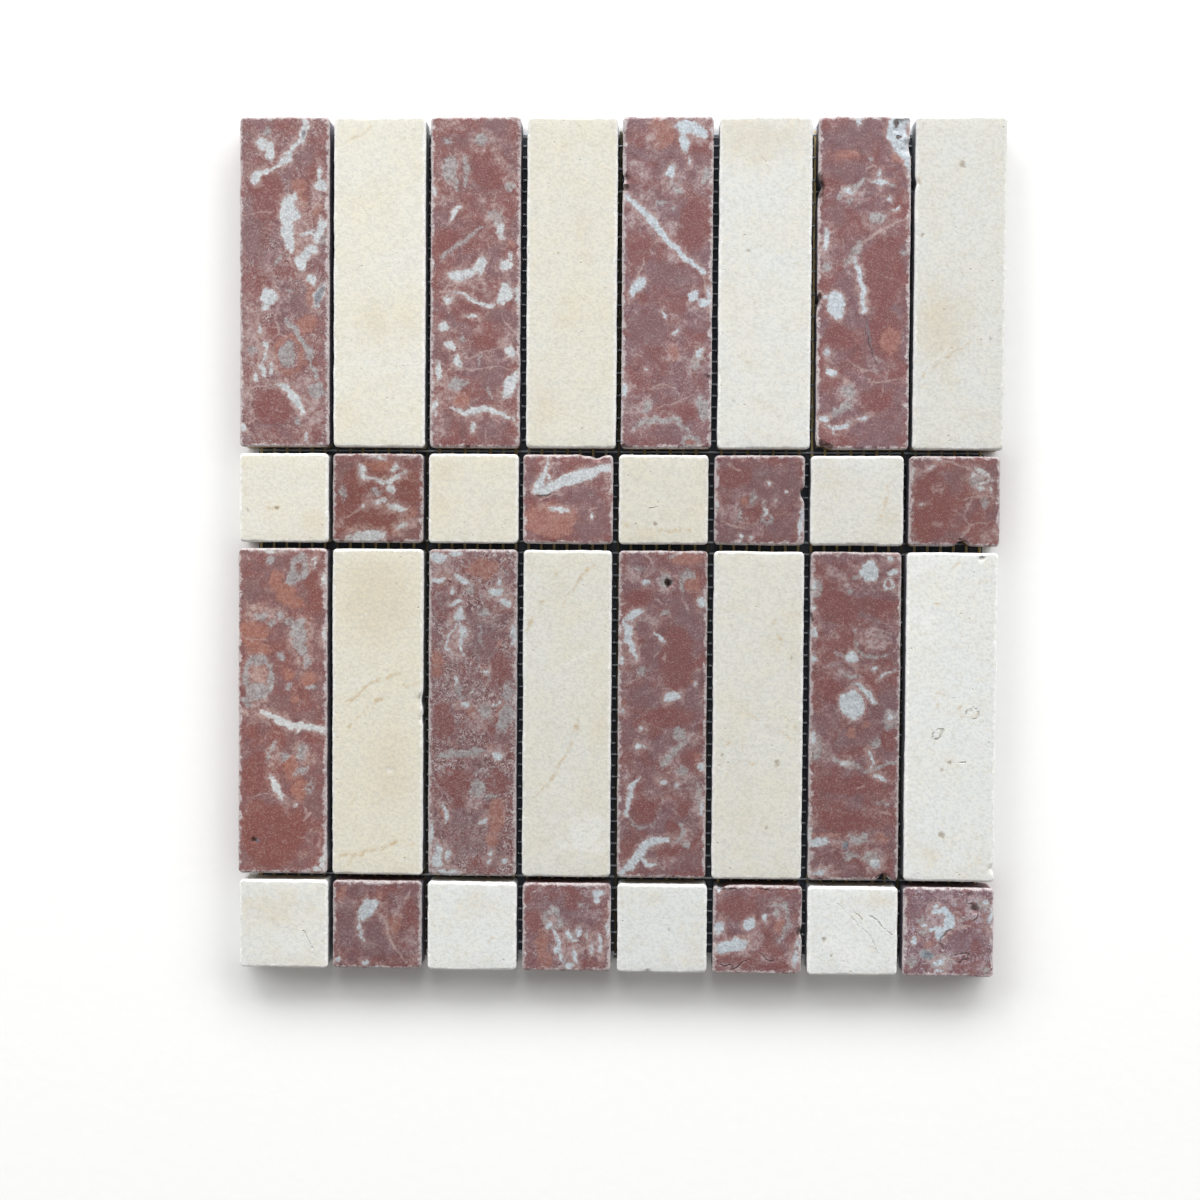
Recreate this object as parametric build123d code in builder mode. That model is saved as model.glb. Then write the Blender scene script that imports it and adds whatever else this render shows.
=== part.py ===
from build123d import *
from math import atan2, cos, degrees, radians, sin
import os

# A mosaic sheet: red and cream tumbled marble tiles held edge to edge on a glass-fibre net.
# Millimetres. The sheet lies face up: X runs along a row, Y up the columns, Z out of the face.
# The floor, z = 0, is the underside of the net, and the middle of the sheet is at x = y = 0.

# stone
tile_width = 31.75
square_length = 31.5
strip_length = 115.5
stone_thickness = 10.0
corner_radius = 2.4
corner_flats = 5
arris_radius = 1.3
back_chamfer = 0.5

# layout, counted from the top left of the face
columns = 8
row_kinds = ("strip", "square", "strip", "square")
column_joint = 1.75
row_joint = 2.0

# net
yarn_thickness = 0.3
warp_width = 1.0
warp_pitch = 4.57
weft_width = 0.7
weft_pitch = 4.0
net_margin = 3.2

# No two tumbled tiles lie quite true: each one's drift along its row from an even spacing.
drift = (
    (-0.4, -0.4, -0.2, 0.1, -0.1, 0.4, 1.1, 0.9),
    (-0.5, -0.7, -0.5, -0.8, -0.8, -0.8, -0.3, 0.0),
    (-0.9, -0.6, -0.5, -0.7, -0.7, -0.7, -0.4, -0.4),
    (-0.4, -0.6, -0.4, -0.4, -0.2, -0.2, -0.3, -0.3),
)
# The tiles that are sawn or worn plainly wider or narrower than the rest, by row and column.
width_change = {
    (1, 2): 0.7, (1, 6): 0.7, (1, 7): 0.6,
    (2, 2): 0.4, (2, 5): -0.3, (2, 7): 0.8,
    (3, 2): 0.6, (3, 3): -0.4, (3, 4): -0.4, (3, 5): -0.4,
    (4, 4): -0.3, (4, 6): -0.3,
}
# Knocks along the edges: how far right and up from the tile's middle, the hollow's radius at the
# face, and its depth. The hollow has few sides, as broken stone has, and narrows to a smaller floor.
knock_sides = 7
knock_narrowing = 0.6
chips = {
    (1, 5): ((-14.8, 36.0, 1.6, 1.0),),
    (1, 7): (
        (-15.2, 33.4, 2.2, 1.5), (14.0, 54.0, 4.2, 1.4), (15.4, 47.0, 3.0, 1.6), (-14.0, -57.0, 2.4, 1.4),
    ),
    (2, 4): ((10.2, 15.5, 2.2, 1.3),),
    (2, 6): ((15.7, 2.2, 2.0, 1.5),),
    (2, 8): ((2.8, -16.0, 1.9, 2.6),),
    (3, 7): ((11.0, -57.0, 2.6, 2.4),),
    (4, 6): ((-12.8, 15.0, 1.8, 1.5), (15.4, -0.6, 1.7, 1.3)),
    (4, 8): ((9.2, 8.2, 1.7, 0.8),),
}

net_thickness = 2 * yarn_thickness
face_height = net_thickness + stone_thickness
row_lengths = [strip_length if kind == "strip" else square_length for kind in row_kinds]
sheet_width = columns * tile_width + (columns - 1) * column_joint
sheet_length = sum(row_lengths) + (len(row_lengths) - 1) * row_joint
column_pitch = tile_width + column_joint

os.makedirs("parts", exist_ok=True)


def colour_of(row, column):
    """Strips and squares start on opposite colours, so the columns alternate all the way up."""
    red_columns = 1 if row_kinds[row - 1] == "strip" else 0
    return "red" if column % 2 == red_columns else "cream"


def worn_outline(width, length):
    """The tile seen from above, its corners worn round in a few flats."""
    points = []
    for quarter, (side_x, side_y) in enumerate(((1, 1), (-1, 1), (-1, -1), (1, -1))):
        middle_x = side_x * (width / 2 - corner_radius)
        middle_y = side_y * (length / 2 - corner_radius)
        for step in range(corner_flats + 1):
            turn = radians(90 * (quarter + step / corner_flats))
            points.append((middle_x + corner_radius * cos(turn), middle_y + corner_radius * sin(turn)))
    return points


def tumbled_tile(node, x, y, width, length, knocks):
    """One stone: worn corners, an arris worn round in two flats, a broken back edge, its knocks."""
    with BuildPart() as stone:
        with BuildSketch(Plane((x, y, net_thickness))):
            with BuildLine():
                Polyline(*worn_outline(width, length), close=True)
            make_face()
        extrude(amount=stone_thickness)
        back = stone.faces().sort_by(Axis.Z)[0]
        chamfer(back.edges(), back_chamfer)
        # the steep flat takes the arris down its full radius, the shallow one breaks its top edge
        face = stone.faces().sort_by(Axis.Z)[-1]
        chamfer(face.edges(), 0.414 * arris_radius, arris_radius, reference=face)
        face = stone.faces().sort_by(Axis.Z)[-1]
        chamfer(face.edges(), 0.586 * arris_radius, 0.317 * arris_radius, reference=face)
        for right, up, radius, depth in knocks:
            slope = degrees(atan2(knock_narrowing * radius, depth))
            with BuildSketch(Plane((x + right, y + up, face_height))):
                RegularPolygon(radius, knock_sides)
            extrude(amount=-depth, taper=slope, mode=Mode.SUBTRACT)
    stone.part.label = node
    export_step(stone.part, f"parts/{node}.step")


def yarns(node, along, width, pitch, level):
    """One layer of the net: parallel flat yarns, evenly spaced about the middle of the sheet."""
    span = (sheet_width if along == "y" else sheet_length) - 2 * net_margin
    reach = (sheet_length if along == "y" else sheet_width) - 2 * net_margin
    count = int((span - width) // pitch) + 1
    with BuildPart() as layer:
        with BuildSketch(Plane((0, 0, level))):
            if along == "y":
                with GridLocations(pitch, reach, count, 1):
                    Rectangle(width, reach)
            else:
                with GridLocations(reach, pitch, 1, count):
                    Rectangle(reach, width)
        extrude(amount=yarn_thickness)
    layer.part.label = node
    export_step(layer.part, f"parts/{node}.step")


row_top = sheet_length / 2
for row, (kind, length) in enumerate(zip(row_kinds, row_lengths), start=1):
    row_middle = row_top - length / 2
    for column in range(1, columns + 1):
        even_place = (column - (columns + 1) / 2) * column_pitch
        tumbled_tile(
            f"{colour_of(row, column)}_{kind}_r{row}_c{column}",
            even_place + drift[row - 1][column - 1],
            row_middle,
            tile_width + width_change.get((row, column), 0),
            length,
            chips.get((row, column), ()),
        )
    row_top -= length + row_joint

yarns("net_weft_yarns", "x", weft_width, weft_pitch, 0)
yarns("net_warp_yarns", "y", warp_width, warp_pitch, yarn_thickness)
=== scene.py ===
from math import cos, pi, radians, sin

import bpy
import numpy as np
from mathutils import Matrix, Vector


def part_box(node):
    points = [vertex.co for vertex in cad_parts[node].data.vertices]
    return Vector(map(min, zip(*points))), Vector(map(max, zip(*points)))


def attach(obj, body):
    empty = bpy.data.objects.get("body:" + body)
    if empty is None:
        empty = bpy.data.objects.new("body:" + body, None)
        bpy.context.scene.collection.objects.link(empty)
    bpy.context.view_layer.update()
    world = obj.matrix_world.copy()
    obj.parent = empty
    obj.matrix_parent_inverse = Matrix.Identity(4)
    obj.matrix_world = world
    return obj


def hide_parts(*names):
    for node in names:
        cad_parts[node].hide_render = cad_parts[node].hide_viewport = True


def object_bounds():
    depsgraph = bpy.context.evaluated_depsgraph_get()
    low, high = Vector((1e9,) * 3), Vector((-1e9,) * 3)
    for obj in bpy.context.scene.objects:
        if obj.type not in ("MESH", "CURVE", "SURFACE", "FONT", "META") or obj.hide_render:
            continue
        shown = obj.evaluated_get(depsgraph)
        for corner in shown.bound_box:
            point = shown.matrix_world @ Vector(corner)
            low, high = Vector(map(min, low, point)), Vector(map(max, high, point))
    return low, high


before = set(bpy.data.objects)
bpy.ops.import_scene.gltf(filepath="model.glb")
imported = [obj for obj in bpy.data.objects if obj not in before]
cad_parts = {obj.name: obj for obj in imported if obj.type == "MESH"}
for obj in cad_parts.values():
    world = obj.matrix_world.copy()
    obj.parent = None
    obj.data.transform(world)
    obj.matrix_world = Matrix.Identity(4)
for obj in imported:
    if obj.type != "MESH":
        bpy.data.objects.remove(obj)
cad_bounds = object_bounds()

# A mosaic sheet of tumbled marble on a glass-fibre net, looked at from straight above its face.
# Lengths in this script are millimetres until a mesh is made; MM turns them into metres.
MM = 0.001
ROWS, COLUMNS = 4, 8

# the stones' wear
CORNER_RADIUS = 1.7
ARRIS_RADIUS = 0.95
# distances in from the edge of the rows of points that carry the worn arris
EDGE_ROWS = (0.0, 0.04, 0.15, 0.32, 0.54, 0.8, 1.08, 1.38, CORNER_RADIUS)
# distances between points over the middle of a face
RED_SPACING = 0.53
CREAM_SPACING = 0.9
SQUARE_SPACING = 0.5
# heights of the wall's rows of points, as shares of the wall from its top down to the back edge
WALL_ROWS = (0.12, 0.28, 0.48, 0.7, 0.88, 1.0)
# the worn back edge: its radius, and how far in and up the middle of its round lies
BACK_ROUND = 0.5
BACK_BREAK = 0.15
# how far in from the wall the markings stop on the flat back
BACK_RING = 1.6
# how far a knock on the edge pushes the outline in, as a share of the knock's depth
OUTLINE_BITE = 0.9
# how far in the outline is worn, and the waves in that wear: how high, and how long
WEAR = 0.1
WEAR_WAVES = ((0.09, 7.0), (0.06, 2.2), (0.05, 0.9))
# how much the arris's radius changes along it, and over what length
ARRIS_WAVES = ((0.3, 9.0), (0.18, 2.4))
# the face: a slight fall towards its edges, a long swell, and a roughness that grows near the edges
PILLOW_DEPTH, PILLOW_REACH = 0.08, 3.2
SWELL_DEPTH, SWELL_LENGTH = 0.02, 12.0
ROUGH_DEPTH, ROUGH_LENGTH = 0.01, 1.3
EDGE_ROUGH_DEPTH, EDGE_ROUGH_LENGTH, EDGE_ROUGH_REACH = 0.05, 0.7, 1.6
# a knock's ragged outline: by what share it strays, and over what length
CHIP_RAGGED, CHIP_LENGTH = 0.22, 0.9
# the walls' unevenness: how deep, how long, and how far the noise moves on from a wall's top to its foot
WALL_HOLLOW, WALL_LENGTH, WALL_ROW_SHIFT = 0.09, 1.7, 17.0
# how far sideways the markings' outlines are bent, and over what length
BEND_WAVES = ((0.75, 3.2), (0.45, 1.5))
# painted shade on joint walls: starts this far below the face, is full this much further down, shows by this
# share
SHADE_START, SHADE_RUN, SHADE_SHARE = 0.8, 1.6, 0.5

# noise on the stones' shapes: how many values a side its table has, and a start well inside positive numbers
NOISE_SIDE = 64
NOISE_START_X, NOISE_START_Y = 200.37, 200.71
# a stone's place in the marble's noise is drawn from this far either way
GRAIN_REACH = 900

# the net: two sets of yarns, one passing over and under the other
WARP_WIDTH, WARP_PITCH = 1.0, 4.57
WEFT_WIDTH, WEFT_PITCH = 0.7, 4.0
YARN_DEPTH = 0.26
YARN_SIDES = 6
# how far a yarn rises and dips as it passes over and under
WEAVE_RISE = 0.13
# how far a yarn runs on past the last one it crosses, and the step in grain from yarn to yarn
YARN_TAIL = 1.2
YARN_GRAIN_STEP = 5.0
# a warp yarn this near the middle of a joint runs along it
JOINT_REACH = 1.2

# markings are held as millimetres in from their edges, up to this much
FIELD_LIMIT = 8.0
# how light a stone's colour is, next to the same colour on the floor's paper
STONE_SHARE = 0.8
# how strongly every surface here shines
SPECULAR_LEVEL = 0.3

# the stage: the floor in metres, the card in millimetres; the dark card is painted shade under the joints
FLOOR_HALF = 4.0
CARD_MARGIN = 5
CARD_LEVEL = 0.02

# the lights: watts, metres and degrees; a side is counted round from +X
DOME_STRENGTH = 0.27
KEYS = (("key", 109.0, 90), ("key_left", 82.0, 138), ("key_right", 82.0, 42))
KEY_SIZE, KEY_DISTANCE, KEY_HEIGHT = (3.8, 1.5), 3.4, 27
BOUNCE_POWER, BOUNCE_SIDE = 2.6, 270
BOUNCE_SIZE, BOUNCE_DISTANCE, BOUNCE_HEIGHT = (0.6, 0.6), 2.0, 8
BOUNCE_COLOUR = (1.0, 0.8, 0.56)

# the camera: millimetres and degrees
CAMERA_PLACE = (11.05, -2.06, 589.99)
CAMERA_TURN = (-1.614, 1.701, 0.383)
CAMERA_LENS, CAMERA_SENSOR = 49.59, 36.0
CAMERA_NEAR = 0.01


# Markings. Each stone has a few kinds of marking, and each kind a list of shapes on the face, in
# millimetres from the stone's middle: x to the right and y up, as the photographed face shows them.

def blobs(*rows):
    """Patches, each an ellipse: its middle x and y, its half-widths, and its turn in degrees."""
    return [(patch_field, row) for row in rows]


def rings(*rows):
    """Outlines of ellipses: the middle x and y, the half-widths, the line's width, and the turn."""
    return [(ring_field, row) for row in rows]


def bands(*rows):
    """Veins that are thinner at their ends: the width, then the points along the vein."""
    return [(vein_field, row) for row in rows]


def patch_field(px, py, x, y, a, b, turn=0):
    c, s = cos(radians(turn)), sin(radians(turn))
    along = ((px - x) * c + (py - y) * s) / a
    across = (-(px - x) * s + (py - y) * c) / b
    return (1 - np.hypot(along, across)) * min(a, b)


def ring_field(px, py, x, y, a, b, width, turn=0):
    return width / 2 - abs(patch_field(px, py, x, y, a, b, turn))


def vein_field(px, py, width, *points):
    runs = [np.hypot(q[0] - p[0], q[1] - p[1]) for p, q in zip(points, points[1:])]
    total, done = sum(runs), 0.0
    best = np.full(px.shape, -FIELD_LIMIT)
    for (p, q), run in zip(zip(points, points[1:]), runs):
        way = np.clip(((px - p[0]) * (q[0] - p[0]) + (py - p[1]) * (q[1] - p[1])) / run**2, 0, 1)
        gap = np.hypot(px - p[0] - way * (q[0] - p[0]), py - p[1] - way * (q[1] - p[1]))
        fullness = 0.55 + 0.45 * np.sin(pi * (done + way * run) / total)
        best = np.maximum(best, width / 2 * fullness - gap)
        done += run
    return best


RED_KINDS = ("white", "grey", "pink", "salmon", "brick", "plum", "hair", "slate", "crack", "pit")
CREAM_KINDS = ("ochre", "stain", "pale", "scratch", "speck", "crack")

RED_MARKINGS = {
    "r1_c1": {
        "white": blobs((-7.6, 48.2, 2.2, 1.7, -40), (-5.6, 45.4, 1.7, 2.4), (-9.8, 37, 1.9, 2.6),
            (-6.8, 38.4, 2.4, 0.9, 10), (6.6, 55.8, 1, 2), (12.8, 33.6, 2.4, 2), (12, 37.6, 1, 3),
            (1.2, 25, 2.4, 5.6), (1.4, 15.8, 2, 5.6, 8), (3.6, 23.4, 2.6, 1.6), (2.8, 29.6, 1.9, 1.5),
            (5.6, 6.8, 2.2, 3.3, 10), (8.6, 10.6, 3.4, 1.7, 35), (12.4, 18.4, 1.6, 4.4, -18),
            (8.2, 16.6, 2.6, 1, 20), (-5.2, -5.2, 2.9, 3.2, -30), (-6, -8.6, 1.6, 1.4),
            (9.8, 0.6, 1.6, 1.7), (-7.4, -30.6, 0.9, 2.4, 10), (-9.6, -33.4, 1, 1.4), (-8.4, -16, 0.8, 1.8),
            (-6.8, -22.4, 0.8, 1.6), (-7, -26.8, 0.7, 1.6), (-4.6, -30.4, 0.8, 1.6, 20),
            (-14.2, -51.4, 1.6, 1.4), (8.2, -54.4, 0.8, 2.2)) + rings((6.8, 51.4, 1.2, 2.2, 0.8, -15),
            (12.5, -4.6, 1.2, 3.4, 0.7, -18))
            + bands((2, (4.8, 49.2), (1.6, 45), (-0.4, 41.6), (-4.2, 39)),
            (2.4, (-2.6, -35.2), (1, -37), (4, -40.6), (7.2, -45.6))),
        "grey": blobs((-5.8, 51.4, 0.9, 2), (12.8, 16, 1.8, 2.8), (2.4, -2.8, 1.5, 1),
            (1, -25.4, 3.2, 4.5, -8), (11.6, -37.6, 2.6, 3.2), (3.4, 26.4, 1, 3.4),
            (-11.6, -23.6, 1.8, 1.6), (5.2, -48.2, 0.9, 1.5)) + bands((1.6, (-2.8, 6), (0, 9.6)),
            (2.2, (0.6, -13.4), (5.2, -17.8), (8.2, -23), (9, -28), (11.2, -33))),
        "pink": blobs((11.5, 30, 2.4, 4), (3.6, 20, 4.6, 9), (7.6, 12, 4, 4.4), (11.6, -42, 3, 3),
            (-11.6, -20, 3.8, 8), (6.6, -34.6, 4, 2.6), (10.6, -46.4, 3, 5), (-12.6, -9.8, 3, 2.6),
            (-13.6, -40, 1.6, 4)) + bands((3.4, (4.8, 49.2), (1.6, 45), (-0.4, 41.6), (-4.2, 39)),
            (2.4, (-7.6, 8.6), (-5.6, 3.8), (-3.2, -0.6), (-1, -4.8), (-1.4, -10.4)),
            (4.4, (-6, -34.6), (0.6, -35.6), (4.6, -39.6), (7.6, -46)),
            (3, (-9, -14), (-7.4, -18.6), (-6.4, -24), (-4, -29), (-2, -33.6))),
        "salmon": blobs((5, 28, 2.6, 4.4), (4.4, 14, 1.4, 4.4), (11.8, 26, 1.6, 3), (9.8, -4.6, 2, 5, 12),
            (7.8, -15, 3.8, 3), (5.2, 33.6, 2.6, 2.4)) + rings((1.6, -25.4, 5, 6.2, 1.6)),
        "brick": blobs((9.8, 38.2, 1.6, 5), (10.2, -52, 3, 3.6), (-6, 30, 6, 9), (-7.2, -1.6, 3.4, 3.6),
            (-4, -44, 7, 6)),
        "plum": blobs((5.6, 45, 5.6, 5), (-11.5, 18, 4.6, 9), (13.2, 11.6, 2.2, 6.4), (4.8, -8.4, 4, 4)),
        "hair": bands((0.8, (1.6, 9), (2.8, 4.8)), (0.8, (-9.4, -20), (-8.6, -27), (-9.8, -33)),
            (0.9, (7.6, 20.6), (10.4, 14.4), (9.6, 8)), (0.8, (13, 30), (9.4, 25), (9.8, 19)),
            (0.7, (-1, -5.6), (-3, -12), (-1.4, -17.6), (2.4, -20.4)),
            (0.8, (-12.6, -38), (-8, -36.4), (-3.4, -37.6)), (0.55, (-14.4, 23.8), (-9, 24.6), (-3.6, 25)),
            (0.5, (-11.6, -34), (-12, -50))),
        "slate": blobs((6.8, 51.4, 0.7, 1.6, -15), (12.5, -4.6, 1.1, 3.2, -18)),
    },
    "r1_c3": {
        "white": blobs((-14.6, 32.2, 1.1, 2.2), (8.8, 18.4, 1.2, 3.6, 18), (10.8, 6.2, 2.2, 1.9),
            (12.4, 9.6, 0.9, 1), (-6, 2.6, 2.8, 1.7), (1.8, 5.8, 1.7, 2.8, -15), (-2, 3.6, 3.2, 1.2, 15),
            (10.6, -3.4, 2.4, 3.4, -25), (9, -6.6, 1.9, 1.2), (15, -4.6, 1.2, 3.2), (-9.4, -6, 1, 1.6),
            (-1, -11.4, 1.9, 0.8), (-11.4, -15.8, 2.2, 1.3), (-8.4, -21.8, 1.8, 1.5),
            (12.4, -24, 2.4, 1.7, -25), (-6.2, -27.2, 1.5, 2.8, 12), (12.8, -35.6, 2.4, 5.2, -28),
            (-13, -30.4, 1.5, 3.4), (-1, -50.8, 1.1, 2, -15), (-14.2, -43, 1.2, 2.6))
            + bands((1.5, (-5.2, 26.6), (-7.4, 24.6), (-8.8, 21.6)),
            (1.5, (-8, -3.2), (-3.8, -3.8), (-0.8, -6), (2.4, -7.6), (6.4, -7.8)),
            (1.9, (-8.6, -43.6), (-4, -45.4), (3.8, -44.2), (9.8, -45.8), (14.6, -48.2))),
        "grey": blobs((2, 49.6, 2.4, 2.4, 20), (-10.4, 48.8, 1.3, 1), (-9, 39.6, 2.4, 4.6),
            (-7, 34.6, 0.8, 2), (11.8, 33.4, 1.8, 1.8), (7.4, 22.8, 2.6, 2.2, -30), (-4.2, -20, 0.8, 1.3),
            (1.6, -27, 0.8, 1.2, 25), (-6, -35.6, 3.4, 2.6, 15), (5.4, -38, 0.6, 1.8))
            + bands((1.8, (-3, 43.6), (-3.6, 33.6)),
            (1.3, (-12.4, 8.4), (-8, 11.6), (-3.6, 14.2), (0.6, 18.4), (4, 20.2))),
        "pink": blobs((6, 46.4, 3, 1.4, -35), (-9.6, 55, 4, 1.8), (-9.2, 38.6, 3.2, 5.4),
            (11.6, 35, 2.2, 2.6), (-11.2, 28.8, 2.6, 1, 10), (2.2, 27.2, 1, 1.9), (7.4, 23, 3.4, 3.2),
            (5, 25, 3, 0.9, -20), (-8.8, -5.4, 2.4, 2), (1.4, -17, 1.7, 0.9), (11.4, -21.4, 3.2, 2.2),
            (-5.6, -26, 2.6, 3.8), (-12.4, -33, 2.6, 4), (-8.6, -38.4, 3.2, 2.6), (-12.4, -50, 2.2, 4),
            (-13.4, -41, 1.8, 3.6)) + rings((2, 49, 3.6, 3.4, 1.8))
            + bands((1.6, (-5.4, 42.8), (-2.4, 44.2)), (2.2, (6.6, 45), (10.6, 40.6), (14.6, 36)),
            (1.8, (-12, 0.2), (-8, 1), (-3.8, -0.2), (0.6, 0.6), (2.8, 1.2)),
            (1.6, (2.6, 0.8), (3.8, -3), (5.8, -6.6))),
        "salmon": blobs((12.6, 13.6, 1.3, 1.8), (-4.8, -41.2, 2.8, 2.8)),
        "brick": blobs((5, 40, 6.4, 8), (-3, -10, 5, 4), (3.4, -20, 4, 4.4), (-10, 14.8, 4, 4)),
        "plum": blobs((6, 54.6, 5.4, 2.6), (9.6, -12, 4.6, 3.6), (6, -33.4, 4.4, 3.6), (4, -52.4, 6, 3.2)),
        "hair": bands((0.7, (-13.4, -4.6), (-9, -1.2), (-6.2, 0.4)), (0.6, (4, 14.6), (4.4, 9)),
            (0.7, (0.6, -12), (2, -14.4)), (0.9, (9.8, -12.6), (12, -15.4), (14.2, -17.4)),
            (0.6, (-4.6, -27.2), (2, -24.8), (8.8, -22.8)),
            (0.6, (-11.6, -30.4), (1, -29.9), (14.2, -29.6)), (0.9, (-3.4, -45.4), (-3.2, -48.6)),
            (0.5, (4.2, -50.6), (3.4, -56.6))),
        "pit": blobs((-2.6, -57.2, 0.8, 0.5)),
    },
    "r1_c5": {
        "white": blobs((6.6, 54, 4.6, 1.8, -8), (5.4, 48.6, 1.8, 4.2, 8), (11.4, 52.2, 2.6, 1.9, -25),
            (0.6, 38.4, 1.6, 2.8, -25), (7.6, 42.6, 0.5, 1), (14.6, -4.6, 1, 3.4),
            (-10.8, -1.2, 3.6, 1.7, 38), (-11.8, -3.4, 1.1, 1.9, -20), (9, -4.2, 1.8, 1.9),
            (12.6, -6.8, 2.2, 1.5), (-1, -10.8, 0.6, 1.2, 15), (3.6, -16.6, 0.7, 1.4, -25),
            (11.6, -24.8, 1, 1.8, -15), (-6.8, -30.4, 0.5, 0.8), (-14.4, -37.4, 1, 3.4))
            + bands(
            (2.5, (-14.8, 30.2), (-8.3, 24.2), (-3.7, 19.6), (0.9, 14.2), (6.3, 9.2), (12.2, 2.8))),
        "grey": blobs((13.4, 37.4, 1.5, 3.4, -20), (-2.4, 27.8, 1.4, 1.1), (1.8, 25.8, 1, 1.1),
            (11, -26.4, 1.9, 4.2, -18), (-6.4, -43, 1.2, 2.8, -30), (13.2, -43.6, 2.2, 4.4, 20))
            + rings((8.6, -55.2, 2.6, 2, 1.2)) + bands((1.6, (0.8, 35.6), (4.6, 30)),
            (1.9, (-11.4, -50.6), (-8, -48.4), (-2.4, -47.4), (3.4, -48), (7, -51.2), (8, -53.6))),
        "pink": blobs((9, 52, 5.4, 4.2), (-5.6, 50.2, 2.4, 4.6), (3, 35, 3.6, 4), (13, 37.6, 2.6, 4.2),
            (-11, 40.4, 2.4, 1.8), (-7.8, 37, 2, 3, 30), (-9.4, 30.6, 3.4, 1.8), (-4.6, 24, 2.6, 2),
            (1.2, 18.4, 3, 2.6), (2, 9.4, 2.8, 2.2), (-12, 21.4, 2.4, 2.6), (10.4, -7.8, 3, 2.4),
            (11, -27.2, 2.6, 5, -15), (-13.2, -38, 2.4, 3), (-9, -44, 3.8, 2.8), (11.4, -41.4, 3, 2.4))
            + rings((2.5, -24.2, 2.6, 3.2, 0.8))
            + bands((4.2, (-14.8, 30.2), (-8.3, 24.2), (-3.7, 19.6), (1.6, 13.4)),
            (1.2, (-9.6, 22.4), (-9, 17)), (1.4, (-14, -38), (-9.4, -39.4), (-5.6, -38.6)),
            (3.6, (-11.4, -50.6), (-8, -48.4), (-2.4, -47.4), (3.4, -48), (7, -51.2))),
        "salmon": blobs((-2.6, 52, 4.6, 5.6), (2.5, -24.2, 2.7, 3.3), (-8, -46, 1.4, 1.2),
            (8.6, -55.2, 1.9, 1.4)),
        "brick": blobs((2.5, -24, 0.8, 0.8), (9, 20, 5, 9), (8, 47, 4, 2.4), (-9.6, 10, 4, 4),
            (-9, -5.2, 2.4, 1.8), (7, -45, 4, 3.4)),
        "plum": blobs((-6, -16, 7, 6), (0, 2.6, 6.4, 5), (-2, 44.4, 9, 2), (0, -52.4, 5, 3)),
        "hair": bands((0.9, (12.2, 2.8), (13.4, -1.4), (14.8, -4.8)), (0.7, (-8.4, 9), (-9, 4), (-11.2, 0)),
            (0.9, (-5.6, -38.6), (-5.4, -43.4)),
            (0.6, (-5.2, -43.6), (0.4, -42.6), (6.8, -40.4), (9.4, -38.4)),
            (0.5, (-7, -36.2), (-2, -35.6), (2.6, -36))),
        "pit": blobs((-14.8, 32.8, 1, 1.5), (14.2, -32.4, 0.9, 0.5, 30), (-14.4, -57.2, 1, 0.6)),
    },
    "r1_c7": {
        "white": blobs((10.8, 52, 3.4, 6), (12.6, 47.4, 2.8, 5, 22), (14.7, 42.6, 1.3, 4.6, 10),
            (-2.6, 55.6, 1.1, 1.7), (4.8, 38, 0.7, 1.4, -15), (-5.4, 31.6, 1.2, 0.9), (8.6, 28.4, 0.6, 1),
            (-13.4, 15.4, 1.2, 3.2), (-9.6, -7.2, 3.2, 4.8, 12), (-8.6, -11.2, 1.7, 1.6),
            (-12.4, -5.4, 1.8, 1, -20), (-12.6, -24.2, 1, 1.6), (-10.9, -30.6, 2, 1.2, -35),
            (0.8, -46.8, 1.7, 0.8, 10), (-7, -49.4, 2.6, 0.9, 18), (-13.2, -46.8, 1.9, 1.3))
            + rings((14.2, 53.2, 2.6, 3.2, 1.4)) + bands((1.5, (2, 35.5), (5, 34.8), (8.2, 34.2)),
            (1.2, (9.4, 25.4), (11.2, 25.4), (12.2, 27)),
            (2, (-3, 8.6), (-1.6, 3.8), (-0.4, -2), (0, -9.4)),
            (1, (-13.6, -49), (-10.6, -50.6), (-9.4, -52.4))),
        "grey": blobs((2.2, 42.2, 0.9, 1.1), (9.8, 33.4, 0.9, 0.8), (-5, 28.4, 0.9, 2.2),
            (4.4, 22.4, 2.9, 2.3), (-13.2, 5.4, 1.3, 1.3), (13.9, 10.8, 1.4, 1.4),
            (-4.8, -37.6, 2.6, 2, -40)) + bands((2.4, (-0.2, 35.4), (-4.8, 32.4), (-9, 29.4)),
            (2, (-1, 14), (-3.6, 10.2), (-5.4, 7.2)), (2.2, (-10.6, -45.6), (-7.4, -43), (-4.2, -41.4))),
        "pink": blobs((-3, 30.4, 4, 3.4), (4.6, 22.2, 4, 3), (-13, 15, 2.4, 4.6), (-13.4, 6, 2, 3),
            (-5, -38, 4, 4.2)) + rings((-1.6, 31.4, 1.6, 1.6, 0.8), (4.8, -28.6, 1.2, 2.2, 0.6, 15))
            + bands((1.4, (14.6, 21.4), (7.4, 19.4), (1.2, 15.4), (-3.4, 10), (-5.4, 7), (-5.8, 3)),
            (3.2, (-3, 8.8), (-1.6, 3.8), (-0.6, -2), (0, -9.6)), (1, (-4, -41.4), (-0.6, -42))),
        "salmon": blobs((11.4, 43.2, 2.8, 2.2), (-6, 44, 3.6, 2), (-9.4, -6.4, 1.1, 1.2),
            (-5.4, -34, 0.9, 1.4), (9.6, -20, 3.6, 4.4)),
        "brick": blobs((14, 53.6, 1.8, 2.4), (7, 4, 6.8, 13), (7.4, -17, 5.4, 9), (-8, -19, 5.4, 4),
            (4.6, 9, 2, 3.4), (4, -41, 6, 4)),
        "plum": blobs((-3, 50, 8, 5.6), (-5, 38.6, 8, 3.4), (-9.4, 24, 4, 4.6), (8.6, -51, 6, 5))
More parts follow.
